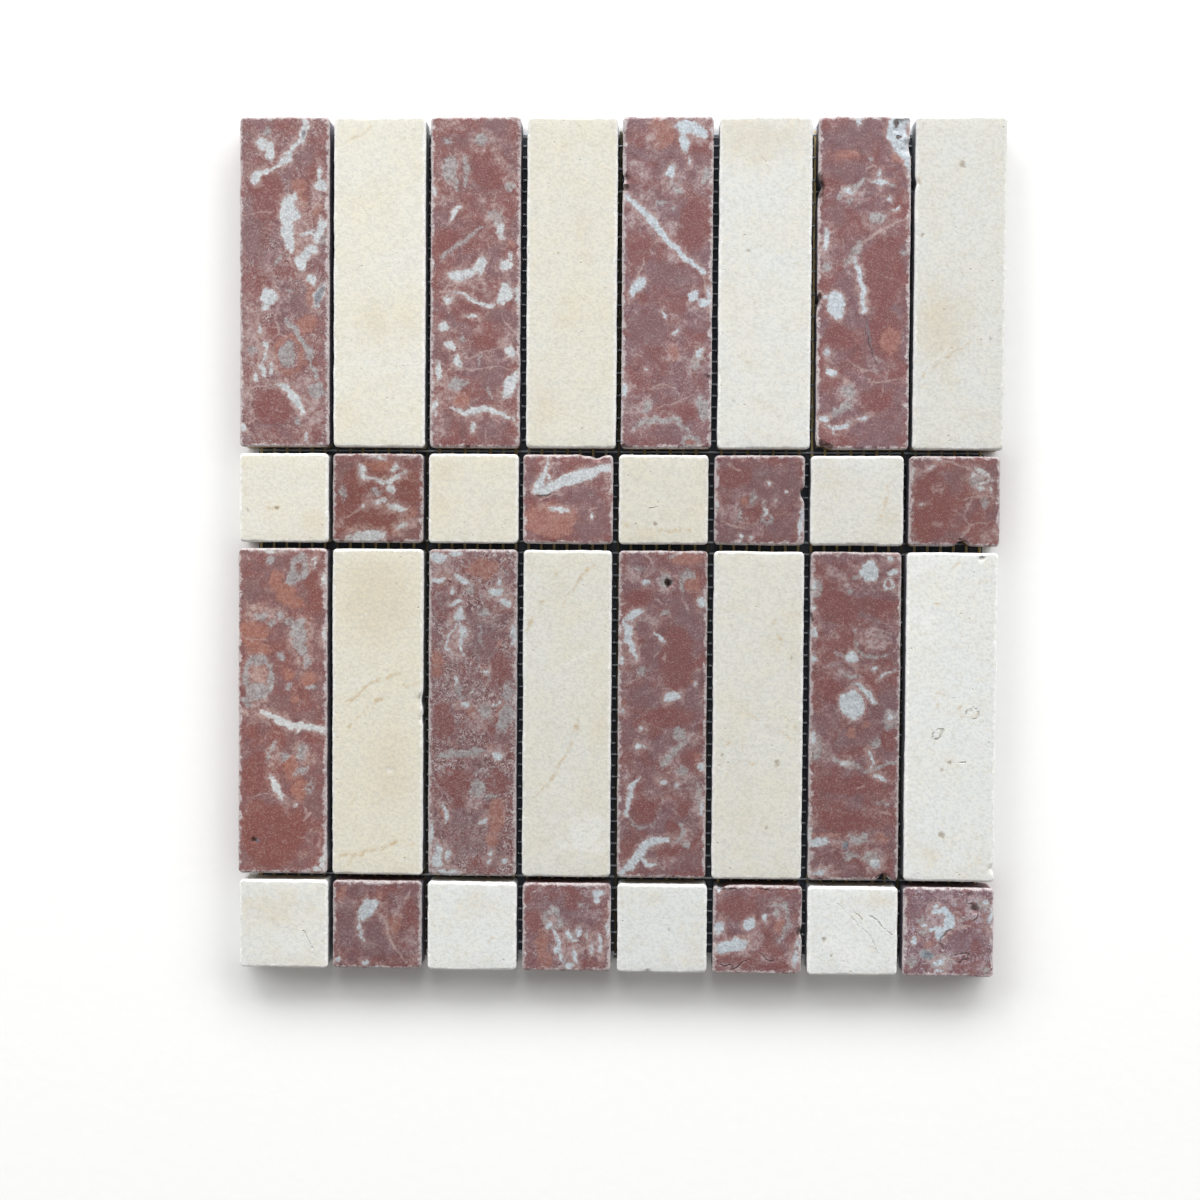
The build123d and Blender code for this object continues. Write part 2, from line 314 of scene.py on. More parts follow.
            + bands((4.4, (0, -9.4), (1.2, -14.6), (2.8, -22.2), (4.4, -27.8), (5.6, -30.6))),
        "hair": bands((0.9, (0.4, 38.4), (3.6, 40.8)),
            (0.7, (14.8, 21.6), (7.4, 19.4), (1.2, 15.6), (-3.4, 10.4), (-5.4, 7)),
            (0.55, (-5, -26.4), (0.4, -30), (6, -32.4)), (0.55, (2, -34.6), (8.4, -33.6), (14.8, -33.4)),
            (0.4, (7, -34), (6.4, -39.6))),
        "slate": bands((0.5, (1.4, -13), (2.2, -18.6), (3.4, -23.6))),
        "crack": bands((-0.1, (0.4, -11), (1, -17)), (0.5, (1, -17), (2.4, -22), (4.4, -28.6))),
        "pit": blobs((-15.4, 33.4, 1.3, 4.6), (-15.6, -5.6, 0.8, 2.4), (-12.6, -57, 2.6, 0.8),
            (10.4, 54.8, 0.7, 1.4), (11.6, 50, 0.9, 0.9)),
    },
    "r3_c1": {
        "white": blobs((-4.4, 57.2, 4.8, 0.9), (14.4, 47, 1, 2), (-2.2, -26.6, 1.4, 4.7, 24),
            (4.4, -33.2, 0.9, 0.6, 25), (14.6, -51.6, 1.2, 5.4, -8), (12.4, -56, 1.6, 1.4),
            (14.8, 27, 0.9, 2.4)) + rings((11.4, 52.8, 1, 1.8, 0.6))
            + bands((3, (-7.6, 0.4), (-2.2, -2.4), (2.6, -5), (7.8, -5.4), (15, -7.2))),
        "grey": blobs((-4, 53.6, 1.5, 2), (3.6, 47.8, 1.9, 3.4, -12), (7.6, 49.2, 1.3, 3),
            (-7.4, 33.6, 1.8, 1.8), (-4, 31.8, 1.6, 1), (-0.8, 33.8, 1.6, 1.7), (5.6, 29.2, 2.8, 3.6),
            (6.6, 23.6, 2.6, 4.6, 5), (2.6, 32.2, 2, 1.3), (8.8, 17.4, 1.5, 1.7), (-0.2, 19.4, 1.3, 1.5),
            (-8.4, 17.8, 3.6, 2.2, 15), (-8.8, 6.8, 4, 3, 20), (-12.4, 3, 2.2, 1.8), (2.4, 8.4, 1.5, 1.2),
            (10.4, 8.4, 1.7, 0.9), (-2.6, -12.6, 0.9, 2, -20), (-4.6, -16.4, 0.9, 1.9, -12),
            (0.6, -16.2, 1.5, 1.7), (6.8, -14.2, 2, 3.2)) + rings((5.8, 51, 2.6, 3.4, 1.8),
            (-8.6, 12.4, 4.4, 6.8, 1.8), (10, -26.6, 1.1, 2, 0.8, -20))
            + bands((1.6, (4.2, -22.6), (9.4, -19.4))),
        "pink": blobs((-9, 35.6, 4.4, 3), (-2, 34, 4, 2.8), (7.6, 18, 3.4, 3.4), (6, 26, 4.2, 7.4),
            (9.4, 27.4, 1.4, 3), (-9, 10, 5, 9), (-3.2, -14.6, 2.2, 3.6), (7.4, -14.6, 3.4, 4.2),
            (9.6, -17, 2, 4)) + bands((4.6, (-13.4, -0.6), (-6.4, -0.8), (-1, -3.2), (4, -5.6))),
        "salmon": blobs((-8.4, 13.6, 3.4, 3.8), (-10.4, 27.4, 5.4, 4.6), (1.4, 41.8, 3.4, 4.4),
            (4.4, 38.4, 3, 2.2), (-8, 21.8, 5, 2), (-2, 46, 3, 4), (3.2, -20, 2.8, 4.4),
            (6.4, -27.4, 2.6, 5), (9.6, 11.2, 2.6, 2.4), (4.2, 4.4, 1.4, 1), (2, 13, 2, 2.4)),
        "brick": blobs((6.2, 52.2, 1.2, 1.3), (11.4, 44, 2.6, 10), (10.4, -9.4, 4, 2), (-3, -44, 11, 11),
            (-9, -22, 5, 8)),
        "plum": blobs((0.6, 3.2, 5.4, 2.6), (10.8, -30, 3.6, 5.4), (-10, 43, 4, 4.6), (8, 41.4, 2.6, 4)),
        "hair": bands((0.8, (-13.4, 54.8), (-11.4, 53)), (0.8, (6.8, -39), (9, -37), (10.8, -36)),
            (0.8, (7.4, -34.6), (9.2, -37)), (0.6, (-15.4, 25.8), (-10, 25.4), (-5.2, 24.6)),
            (0.5, (-12.2, -31.2), (-6, -29.8), (-2, -29.8)), (0.45, (4.4, -43.8), (11.6, -46.8))),
        "slate": blobs((-9.4, -46, 0.6, 0.7)),
        "pit": blobs((-10.3, -46, 0.8, 0.7, -15)),
    },
    "r3_c3": {
        "white": blobs((-12.4, 54.6, 2.6, 1.8), (-6.6, 56.4, 2.4, 1), (-12.8, 46.4, 2.4, 1, 15),
            (-3.8, 46.8, 3.2, 0.9, -25), (-7, 43.6, 0.8, 1), (8.2, 43, 3, 1.4, 10), (11.8, 39, 2, 1.2, -20),
            (9.4, 46.6, 0.7, 1.6), (-6.2, 38.8, 1.9, 0.9), (-4.8, 34, 1.5, 2.6, -10), (-3, 29, 1.6, 1),
            (14.4, 27.6, 1.2, 3.4), (4.4, 14.8, 0.9, 1), (-6, 11.4, 0.7, 1.4), (-0.4, 8.4, 1, 0.6, 20),
            (-2.6, 2.7, 1.9, 1.1, -10), (8, 3.6, 1.6, 0.6, 20), (8.8, -15.4, 1.5, 1.5),
            (3.8, -38.8, 1.8, 1.1, 35), (6.8, -49.6, 0.8, 0.9), (6, -52, 0.8, 0.8), (11.4, -52, 1.4, 0.8),
            (-12.4, -51, 1.4, 4.6), (-8.4, -50.6, 1.4, 2), (-9, -56.4, 4.4, 1), (-14.6, -43, 1, 4.4))
            + bands((1.2, (-5.4, 31.6), (-8.6, 27.6), (-9.6, 23.4), (-7.6, 20.6)),
            (1.6, (-4.4, 31), (-3, 27.6), (-4.6, 23.6), (-3.6, 20.4)),
            (1.2, (-11, -31.8), (-9, -33.6), (-8.4, -36.6), (-9.4, -38.6))),
        "grey": blobs((-0.4, 43.6, 1.4, 1.6), (6, 42, 1, 1.6), (3.8, 35.4, 1.8, 1.6), (-5.2, 8.6, 1, 2.4),
            (-4, 5.4, 1.6, 1), (4.4, 1, 2, 2.6), (12.6, 7, 1.6, 2.8), (11.4, -1.6, 2.4, 5.2, -12),
            (1.8, -26.4, 2.6, 3, -30)) + bands((1, (2.6, 31), (3.4, 24)),
            (3, (-12, -15.2), (-8, -15), (-2, -14.4), (4.4, -13.8)), (1.4, (4, -29.6), (9.4, -28.6))),
        "pink": blobs((-10.6, 52, 4.4, 4.4), (8.8, 42.4, 5, 3.6), (-6.2, 26, 5, 7), (4.2, 35, 3, 2.8),
            (4, -1, 3.4, 4.4), (8.6, -13.6, 2.4, 3), (0.6, -31, 3, 4), (-11, -51, 4, 6.6))
            + rings((1.4, -44, 1.5, 2.2, 0.9)),
        "salmon": blobs((-10.4, 49, 2.4, 2), (-6.2, 23.6, 1.8, 2), (9.4, 24, 0.9, 1), (-12.4, 18.8, 2, 3.4),
            (-12.6, 14, 1.6, 1.6), (-0.4, 0, 1.8, 2.4), (9.8, 1.4, 0.8, 3, -20), (6.8, -12.4, 1.6, 1.6),
            (8.6, -36.4, 3.4, 6.4), (7.4, -45, 2, 2.6), (-10.6, -35, 1, 1.8), (-12, -53.6, 1.4, 1.4),
            (3, 51, 5.6, 3.4)),
        "brick": blobs((10, 15.6, 3.8, 5.8), (-5, -25, 6.6, 4.6), (8.6, -24.4, 3.6, 5), (-10.6, -3, 4, 7),
            (8, -4, 1.6, 5, -15), (-4.6, -31.4, 3.6, 2.6)),
        "plum": blobs((-1, -46.4, 6.4, 4), (8.6, -51, 4.4, 4), (3.4, 26, 5.4, 8), (-2, -38.6, 7.4, 3.4),
            (10.4, -9, 4, 2.4), (-10, 40, 4, 4)),
        "hair": bands((0.6, (3.2, 11.8), (5.4, 10.6), (3.6, 10.2)), (0.6, (5.8, 7.4), (7.4, 6.2)),
            (0.9, (6.6, 18), (5.4, 15), (3.6, 13)), (0.9, (-11.6, -15.8), (-9.6, -14), (-5, -14.4))),
    },
    "r3_c5": {
        "white": blobs((-6.2, 46.4, 1.1, 1.3), (13.6, 40, 1.5, 1.8), (-10, 35, 3.4, 1.4, 28),
            (-12.6, 28.8, 1.3, 3.8), (-14.4, 19.2, 1.2, 1.9), (3.5, 6.5, 2.9, 1.7, 14),
            (12.2, 10.8, 0.6, 0.9), (-13.4, 1.2, 1, 0.9), (-6.8, -4.4, 0.6, 0.5),
            (-7.6, -11.4, 1.8, 1.3, 20), (14.2, -18, 1.2, 1.5), (0.8, -23.5, 1.9, 1.1, -28),
            (5.4, -24.6, 0.7, 0.9), (-11.6, -54.2, 2, 1.5), (14.6, -32.4, 0.9, 3))
            + bands((2, (-13.4, 33.4), (-12, 28.4), (-11, 23.2), (-9.6, 19)),
            (1.5, (-2.9, 29.4), (-1.2, 27.6), (0.4, 25.6)),
            (1.8, (-7.4, -22.4), (-10.8, -26), (-12.5, -31.4), (-12.2, -36)),
            (3.4, (-13.4, -55.4), (-9, -50.8), (-5.6, -46.4), (-1.4, -44), (2, -43.4)),
            (1.6, (-7.4, -50.4), (-4.6, -52), (-2.4, -52.8))),
        "grey": blobs((-8.4, 51.4, 2.2, 0.8), (8.6, 49.2, 2.6, 1.7), (6.8, 45.8, 0.9, 3.2),
            (0.8, 46.8, 2.6, 2), (3.4, 55.4, 1.4, 0.7, 30), (0.4, 36, 1.6, 1), (-6.8, 15.4, 1.6, 0.9),
            (6.4, -6.8, 2.3, 2.5), (7.4, -19.2, 1.8, 1.8), (13.4, -29, 1.2, 4.6), (8.6, -45.6, 1.7, 1.4))
            + bands((2.4, (8.2, -9.6), (5.6, -12.4), (1, -15.6), (0.4, -17.8)),
            (1.2, (-12.4, -34), (-11.6, -37.6), (-9.6, -39.6), (-5.8, -39.6), (-2.6, -38.6)),
            (1.6, (6.8, -37.4), (7.2, -40.8), (5.6, -43.6), (3, -44.4))),
        "pink": blobs((-11.6, 49, 3, 2.4), (1.2, 46.4, 3.4, 3), (-5.4, 33.4, 4.4, 1.2, 15),
            (10, -7.6, 3.4, 2), (5, -17.8, 2.4, 1.8), (8, -22, 2.6, 2.6), (12.6, -29, 2.2, 5.4),
            (-12.6, -20.4, 1.8, 1.6), (0.2, -29.4, 2.2, 2.6), (-3.2, -28.4, 1.6, 1.2), (8.4, -42, 2.6, 3.4),
            (-4.6, -45, 3.4, 2.4, 30), (3, -51.6, 3, 1, 20))
            + bands((3.4, (-13, 33.6), (-11.4, 28.4), (-10.4, 23.2), (-9, 18.4)),
            (4, (8.2, -9.6), (5.6, -12.4), (1, -15.6), (3, -19)),
            (1.6, (-1.4, -38), (-0.8, -33.2), (0.4, -30.6), (1.6, -28.4))),
        "salmon": blobs((8.6, 54.8, 6.4, 2.8), (10.6, 46.4, 3, 3.4), (-10.2, 25, 0.9, 3.8),
            (10.4, 11.4, 1.4, 1), (-13.6, 4, 0.9, 1.3), (12.8, -15, 1.6, 1.5), (8.4, -20.8, 0.9, 1.2),
            (1.6, -28.6, 0.8, 1)),
        "brick": blobs((-5.6, -33.4, 4.2, 4.4), (7.6, -33, 2.2, 2.5), (4.4, -39.8, 2.6, 2.6),
            (-8, 40.8, 5, 3.6), (5, 20, 6, 12), (2, -1, 8, 3.4), (2.4, -49.4, 4, 2.6)),
        "plum": blobs((8, 36, 4, 3.4), (-4, 22, 4.4, 6), (-6, 6.4, 5, 4.4), (-9, -8, 4, 4.4),
            (10.4, -38, 3.4, 6), (8, -51.6, 6, 4)),
        "hair": bands((0.8, (-6.4, 56.6), (-3.6, 53.4)), (0.7, (6.8, 40.6), (9.8, 35.4)),
            (0.8, (-2.6, 41), (0.2, 38.8)), (0.8, (-7.8, 24.4), (-8.6, 20.6), (-9.6, 17.4)),
            (0.8, (-1.6, 22.4), (-2.8, 19.6)), (0.7, (1.4, 22), (0.8, 18.4)),
            (0.6, (-13, 10), (-9.8, 12.4))),
        "pit": blobs((1.8, 46.2, 0.9, 1.6, 20)),
    },
    "r3_c7": {
        "white": blobs((4.3, 50.8, 3.6, 3.7), (12.9, 50.4, 1.7, 1.4), (12, 55.4, 1.5, 0.9),
            (-14.2, 46.4, 1.2, 1.9), (-14.6, 29.2, 1.4, 2), (-14.4, 20.8, 1.3, 2), (-14.8, 37.6, 0.9, 1.6),
            (-1.4, 21, 2.6, 1.8, -25), (7.1, 17, 1.5, 0.8), (-0.6, 4.2, 4.2, 4.9), (12.4, -0.4, 0.9, 0.9),
            (-14, -8, 1, 2.4), (-4.2, -16, 2, 0.8, -10), (9.4, -21.2, 2.4, 0.9, -20),
            (-11.8, -43.8, 3.4, 1.5, 10), (-14.8, -42, 0.9, 3.4), (7.4, -51.4, 1.8, 1.2),
            (-12, -55, 2.2, 0.8, 20)) + rings((11.6, 46.1, 1.9, 1.7, 0.8))
            + bands((1.3, (8.2, 12.8), (10.2, 14.4), (12.2, 15.4)),
            (1.9, (-1.2, 11.4), (2.2, 11), (5, 7.6), (7.6, 4.4)),
            (1.3, (4.8, -11.8), (5.8, -14.2), (6.4, -16.6))),
        "grey": blobs((0.4, 49.2, 1.2, 1), (-13.6, 45, 2.2, 3.4, -12), (-2.3, 43.8, 1, 1.3),
            (-0.7, 30, 0.8, 0.8), (-4.6, 21.8, 2, 0.8, -10), (13.6, 16.8, 0.8, 0.8), (-1, 14.6, 2.6, 0.6),
            (-1.4, 2.8, 1.8, 1.6), (7.8, -9.2, 1.6, 2.4, -15), (-13.2, -11, 2.2, 4.6),
            (-2.8, -16.4, 4.8, 1.5, -12), (2.2, -43, 3.6, 1.7, 22), (-1, -48.6, 2.6, 1.2),
            (6.6, -50.2, 3, 2.6, -20)) + rings((12.4, -1.2, 1.6, 2.2, 1.6))
            + bands((1.3, (-0.4, 27.6), (0.6, 23.6), (4, 21.2), (8.4, 20.8), (12, 21.6)),
            (2, (3.4, -18.6), (8, -17.6), (15, -15.6)), (1.2, (7.4, -30.4), (12.6, -30.8))),
        "pink": blobs((6.8, 27, 4.4, 3.6, -8), (-3.6, 15, 4.8, 1.6, -8), (-11.6, -12.6, 3.2, 3.4),
            (13.4, -28.6, 1.4, 0.8), (0, -44.2, 6.4, 2.6, 15), (-6.4, -45.8, 2, 1.4), (6.4, -49.4, 4, 3.4),
            (-10.6, -55, 4.4, 2)) + rings((-7.2, 17.4, 1.7, 1.1, 1.1), (-0.6, 4, 4.6, 5.4, 0.9))
            + bands((1.4, (-10.2, 52.4), (-6, 50.4), (-3.4, 47.6), (-2.2, 43.6))),
        "salmon": blobs((-8, -41.8, 5, 0.9, -4), (9.4, -42.6, 2.4, 1.6), (-1, -6, 1.8, 2),
            (4.2, -2.4, 1.4, 1.2)),
        "brick": blobs((11.6, 46, 1.2, 1), (-6, 38, 7, 6), (6, 39, 6, 3.4), (-7.4, 8.4, 4.6, 4),
            (-2, -24, 12, 3.4), (-4, -36.4, 9, 4), (11.8, -8, 2.6, 4), (12, -52, 2.4, 4)),
        "plum": blobs((11.4, 7.4, 3, 5.4), (2, -7.4, 8, 3), (-6.4, -51.4, 6, 2.4)),
        "hair": rings((7, 27.3, 7.8, 6.8, 0.2, -8)) + bands((0.8, (-9.6, 52.6), (-10, 50.6)),
            (0.6, (2, 29.6), (7, 30.8), (12.4, 29)), (0.6, (3, 25), (8, 24), (13, 26)),
            (0.7, (-2, 10.2), (1.4, 9.4), (3.6, 7.4)), (0.8, (1, -24.2), (3.4, -24)),
            (0.7, (7.6, -33.2), (11.4, -33), (13.6, -34.6))),
        "slate": blobs((-2.6, -45.2, 0.8, 1.3)),
        "crack": bands((1, (10.2, -54.6), (10.8, -57.4))),
        "pit": blobs((-15.4, 35, 0.6, 1.2)),
    },
    "r2_c2": {
        "white": blobs((-5.5, 9.4, 1.2, 2.4, 20), (6.2, 10.4, 0.8, 1.6, -20), (4.4, 3.8, 1.6, 1.6),
            (1.2, -1.2, 3, 1, -10), (6.8, -3, 3.2, 1.4, -12), (-4.4, -2.8, 0.6, 0.6),
            (-3.6, -13.8, 6.4, 2.5), (9.2, -9.8, 2.4, 0.8, 28), (0, 14.4, 2.4, 0.7))
            + bands((1.5, (-6.2, 9), (-3, 7.4), (1, 6.2), (4.2, 5.8), (7.4, 8.2), (9.8, 9.6))),
        "grey": blobs((-0.2, 2.2, 1.8, 1.1), (-12.4, 1.6, 0.6, 2.4)),
        "pink": blobs((4.6, -3.2, 5, 2.2, -12), (-3, -11.4, 4.6, 1.8), (9, -10, 3.4, 1.8, 20),
            (-13.4, -8.6, 2.2, 1.2)) + bands((2.2, (-6.2, 9.4), (-3, 7.4), (1, 6.2), (4.4, 6), (8, 8.8))),
        "salmon": blobs((1, 11.4, 5, 2), (5.6, -11.8, 2.4, 1.2), (-9, -11, 2.4, 1), (12, -5, 2.4, 1.4)),
        "brick": blobs((-8.6, -1.6, 4, 3.4), (-1, -6.6, 5.4, 2), (0, 0, 14, 14)),
        "plum": blobs((-11.6, 10.6, 3, 3)),
        "hair": bands((0.6, (-2, 2), (-4.4, -3), (-8, -5), (-11.6, -6.4)), (0.8, (10, 13.4), (14, 14.6))),
    },
    "r2_c4": {
        "white": blobs((-9.4, 6.4, 1.6, 3.4, -15), (-3.4, -3.2, 3.4, 1, -8), (9, -5.6, 0.6, 0.9))
            + bands((4.2, (-11, 2.2), (-5, 4.8), (1, 7), (7, 9), (14.6, 11)),
            (2.8, (4, 8.2), (9, 9.6), (14.6, 11.2)), (1.2, (-7.2, 15), (-7.8, 10.4), (-6.4, 6.6))),
        "grey": blobs((8.6, 1.2, 0.5, 0.6)),
        "pink": blobs((-7.4, 11.6, 2, 4), (14.4, 4.4, 1, 2)) + bands((1, (-3.4, 14.4), (-4.8, 8.4))),
        "salmon": blobs((-6.2, -7, 9.4, 6.4, -5)),
        "brick": blobs((2.6, 11, 3.4, 1.8, 20), (-13, -1.6, 1.6, 3), (-7, -14, 6, 1.4)),
        "plum": blobs((8.4, -8, 7, 6), (5.4, 1, 7, 2, 15), (-13.4, 10, 2, 4)),
        "hair": bands((0.9, (-6, 1.6), (-2.4, 2)), (0.9, (7.4, -4.6), (8.2, -2.8), (10.4, -2.6))),
        "crack": bands((0.7, (-10.2, 0.4), (-8.4, 1.6), (-5.8, 2))),
    },
    "r2_c6": {
        "white": blobs((2.2, -3.4, 0.7, 1.2), (-14.6, -1.2, 0.8, 1.7), (-3, -12.9, 0.8, 0.6),
            (-6, -12.4, 0.5, 0.5), (-7, -14.4, 0.5, 0.6), (14.7, -7.4, 1, 5.2), (3.8, 5.8, 0.4, 0.4),
            (9.6, 3.2, 0.5, 0.4), (5.4, -0.6, 0.4, 0.3)),
        "grey": rings((2.6, -5.8, 1.7, 1.7, 1.2)) + bands((1.2, (-2.2, 3), (-1.8, -1.8)),
            (1.2, (1.4, -0.6), (2, -4)), (1, (-6.2, -3), (-7.2, -7))),
        "pink": blobs((-9.8, -3.6, 2.6, 1.8), (0.6, -10.4, 1.8, 1.8))
            + bands((1.3, (-3.6, 3.4), (-6.6, 2.8), (-7.6, 0.4), (-6, -1.6), (-3.6, -1.8)),
            (1.6, (-13.4, -2.4), (-10, -4.6), (-6.8, -7.6), (-3.6, -8.8)),
            (1.2, (-4, -7.6), (-0.6, -8.4), (0.8, -11.6))),
        "salmon": blobs((-4.6, 0.4, 1.4, 1.4)),
        "brick": blobs((-8, 8, 5.4, 4)),
        "plum": blobs((6, 4, 8.4, 8), (8, -9.6, 5, 4), (-10.6, -11.6, 3.6, 3)),
        "hair": bands((0.9, (-14, -7), (-9, -8.6), (-4.6, -9.4)),
            (0.5, (-10.2, 12.4), (-8.6, 10.4), (-6.4, 10))),
        "pit": blobs((14.7, 2.6, 0.6, 1)),
    },
    "r2_c8": {
        "white": blobs((8.4, 3.8, 1.4, 0.8), (9.6, 10, 2.6, 0.7, -30), (10.6, 6.8, 2.4, 0.6, 18),
            (12.2, 4, 0.6, 1.8), (6.6, 9, 1.2, 0.5, 40), (-8.9, 11.6, 1, 0.4, 32), (-11.5, -0.8, 0.8, 0.5),
            (-14.8, 10.4, 0.6, 2.4)) + bands((1.4, (-7, 15), (-4.4, 14.2))),
        "grey": blobs((8, 7, 3, 2.6), (10.3, -0.8, 0.9, 1.9, 15)),
        "pink": blobs((-6, 4, 1.6, 1.4), (13.8, -10.4, 1.6, 2), (-6, -8, 1.4, 0.8))
            + rings((11.8, -11.6, 2, 1.7, 1)),
        "brick": blobs((-8, -2, 7, 12)),
        "plum": blobs((9, 8.6, 6, 5)),
        "hair": bands((0.9, (-5.4, 14.6), (1.2, 12.8), (6.4, 10.2), (8.4, 8.2)),
            (0.7, (6.8, 7.4), (9.4, 6.2)), (0.8, (5.2, 6.4), (9, 8.8), (12, 9.4)),
            (0.5, (-1.4, 1.8), (4.2, 1), (8, 2), (14.8, 1.4)), (0.5, (6.6, 1.2), (4.2, -1.6), (3.8, -4.4)),
            (0.5, (-0.4, -3.4), (3, -5.2), (5.8, -8), (9.6, -7.2), (14.4, -7)),
            (0.7, (5.8, -8), (3.6, -10.4), (1.8, -12.6)), (0.45, (8.8, -2.2), (11.4, -4.4))),
        "pit": blobs((1.8, -13.4, 0.8, 0.5), (2.8, -15.6, 1.7, 1)),
    },
    "r4_c2": {
        "white": blobs((-3.2, 5.6, 4.2, 2.4, 52), (-1.4, 7.6, 2, 1.5, 20), (-4.3, -13.2, 1.2, 1.2, -25),
            (-1.2, -15.2, 2, 0.5), (-13.6, -12.4, 1, 1.2))
            + bands((1, (-5.8, 2.6), (-5.8, -1), (-5.5, -6))),
        "grey": blobs((-5.6, 2, 0.8, 1.4)),
        "pink": blobs((7, 5.8, 1.2, 3, -30), (-12.6, 7.6, 2, 0.9), (12.4, -6.4, 1.8, 4))
            + bands((2.4, (0.4, 6.4), (2.6, 0.6), (5, -4.6))),
        "salmon": blobs((5.4, 0.4, 3.2, 4.4, -20), (0.6, 9.8, 1, 2), (-12.6, 10.6, 1.8, 2.6)),
        "brick": blobs((12, 5, 2.4, 5.4), (-1, -12.6, 2, 1.6)),
        "plum": blobs((0, -4, 4.4, 7), (-10.4, 1, 3.4, 6)),
        "hair": bands((0.9, (0.6, 5), (2.8, 0), (5.8, -6), (10.6, -12.8)),
            (0.9, (9.6, 9.4), (11.6, 10.4), (11.6, 12.6))),
    },
    "r4_c4": {
        "white": blobs((-6.6, 0.4, 0.9, 1.6), (4.2, -1.6, 0.9, 1.4, -20), (6.8, -2.4, 0.5, 1.3),
            (2.8, -10.4, 1.2, 2.4, 15), (1.4, -13.6, 1.6, 1.1), (-3.6, -8, 0.8, 1.7), (8.6, -7.6, 0.6, 2),
            (12.2, -5.4, 0.8, 2.8), (11, 12, 1.9, 1.6), (11.2, 9.8, 0.9, 1.2), (14.6, 0, 0.7, 3))
            + bands((1.5, (-6, -0.6), (-3, -3.2), (-1.8, -6), (-3.2, -8.4), (-0.4, -12.6)),
            (1.4, (0.2, -1.4), (2, -4.6), (4.4, -4.6))),
        "grey": blobs((1.8, -3.6, 2, 1.6, 30), (0, -13.4, 1.4, 1.4), (5, 8.2, 1, 0.7))
            + rings((-5, 3, 2.6, 3.2, 2)),
        "pink": blobs((-5, 2.6, 3.6, 4.4), (2.2, -10, 3.4, 4.4), (10.8, -6.6, 3.2, 3.6), (10, 5.6, 2.2, 1))
            + bands((3.4, (-5.4, -0.8), (-2, -4.4), (-2.4, -8.4), (0.2, -12))),
        "salmon": blobs((-8.6, -7, 1.6, 7), (-6.6, -12, 1.2, 3)),
        "brick": blobs((8.6, -13, 5, 2), (2.6, 9.4, 3.6, 3.4), (-11.4, 1.6, 2.4, 4)),
        "plum": blobs((0, 8, 8, 4), (8, 1.6, 4, 2)),
        "hair": bands((0.8, (7.6, -9.6), (10.4, -9.8))),
    },
    "r4_c6": {
        "white": blobs((-2.8, 1.9, 1.9, 2, -20), (-9.4, -5.6, 5.4, 2.1, 8), (-12.6, -6.8, 2.4, 1.7),
            (-13.4, 0.6, 1.3, 2.2), (2.8, 4.4, 0.7, 1.6), (13.4, -9.6, 1.2, 3.6), (-13.8, 14, 1, 1.2),
            (14.8, -4.6, 0.8, 2)),
        "grey": blobs((7, 6.4, 1.2, 2.2, -15))
            + bands((1.6, (6, 9), (9.8, 9.6), (11.2, 6), (11.4, 1.8), (9.4, -1), (7.8, -4))),
        "pink": blobs((-1.6, -4, 3.4, 3.6), (-6, -6, 7.4, 3), (-12.4, -2, 1.8, 1.4), (7.6, 7.2, 3.6, 3.8),
            (12.8, -10.4, 2, 3.6)) + bands((1.4, (-11.6, -12.8), (-10.2, -13.2), (-8.6, -15.2), (-5, -12)),
            (1, (0.4, -8.8), (3, -10.6), (6.6, -10.2))),
        "salmon": blobs((8, 1.4, 1.8, 3), (13.4, -11.2, 0.8, 1.2), (-5, -3, 4, 0.9, 12)),
        "brick": blobs((-6.6, 8, 6.4, 4.4), (4, -12.6, 5, 1.8), (11.8, -4, 1.8, 2.4)),
        "plum": blobs((1, 9, 2, 3)),
        "crack": bands(
            (0.55, (-14.4, -12), (-12, -13.4), (-10.2, -12.4), (-8.6, -14.6), (-6.6, -13), (-5.2, -11.4),
                (-3, -10.4)),
            (0.45, (-0.6, -7.8), (2, -9.8), (4.8, -10.8), (6.4, -10.6), (6.2, -8.8)),
            (0.9, (-13.6, 13), (-9.6, 14), (-7, 14)), (0.7, (0.6, 14.2), (4.2, 13))),
        "pit": blobs((15, -0.6, 0.7, 1)),
    },
    "r4_c8": {
        "white": blobs((-3, -1.4, 1.6, 1.8), (-5, 9.4, 0.7, 1), (-7.8, 2.4, 0.8, 0.8), (-3.2, -10.2, 2, 1),
            (-3, -13.6, 1.6, 0.7), (12.6, 10.6, 1.2, 1.2), (-12.6, -3, 1, 1.4), (14.4, 6, 0.8, 2.6))
            + bands((3, (-5, 7.4), (-1.4, 8.2), (0.8, 5.8), (0.6, 2.4), (-2, 0.6), (-6, 0.2))),
        "grey": blobs((-7.4, 0.4, 2.4, 1.5), (-8.7, 4.4, 1.4, 1.5), (-7.4, -7.4, 2.6, 1.9),
            (-2.4, -10.4, 4, 2, 8), (-13.2, -10.2, 1.3, 2), (12, 9.8, 2.4, 2.4), (5, 4.6, 1.6, 0.7, 30),
            (12.4, -12.8, 1.4, 1.1)),
        "pink": blobs((-4, 3.4, 5.4, 5.4), (-3, -10, 5.4, 3.4), (9.6, 9.4, 3.6, 4), (1.4, 12.4, 3, 1.4))
            + bands((1.2, (9.8, -12.4), (11.4, -9.6), (13.8, -8.4))),
        "salmon": blobs((-6.2, -4.2, 2, 1.3)),
        "brick": blobs((-3.2, 3.6, 2.2, 1.1), (9.6, -5, 2, 2.6)),
        "plum": blobs((6.4, -3.4, 6, 4.4), (-12, 8, 2.6, 4)),
        "hair": bands((0.9, (0.8, 1.2), (4, 1), (7.8, 2.4))),
        "slate": blobs((-7.4, -7.4, 2, 1.4)),
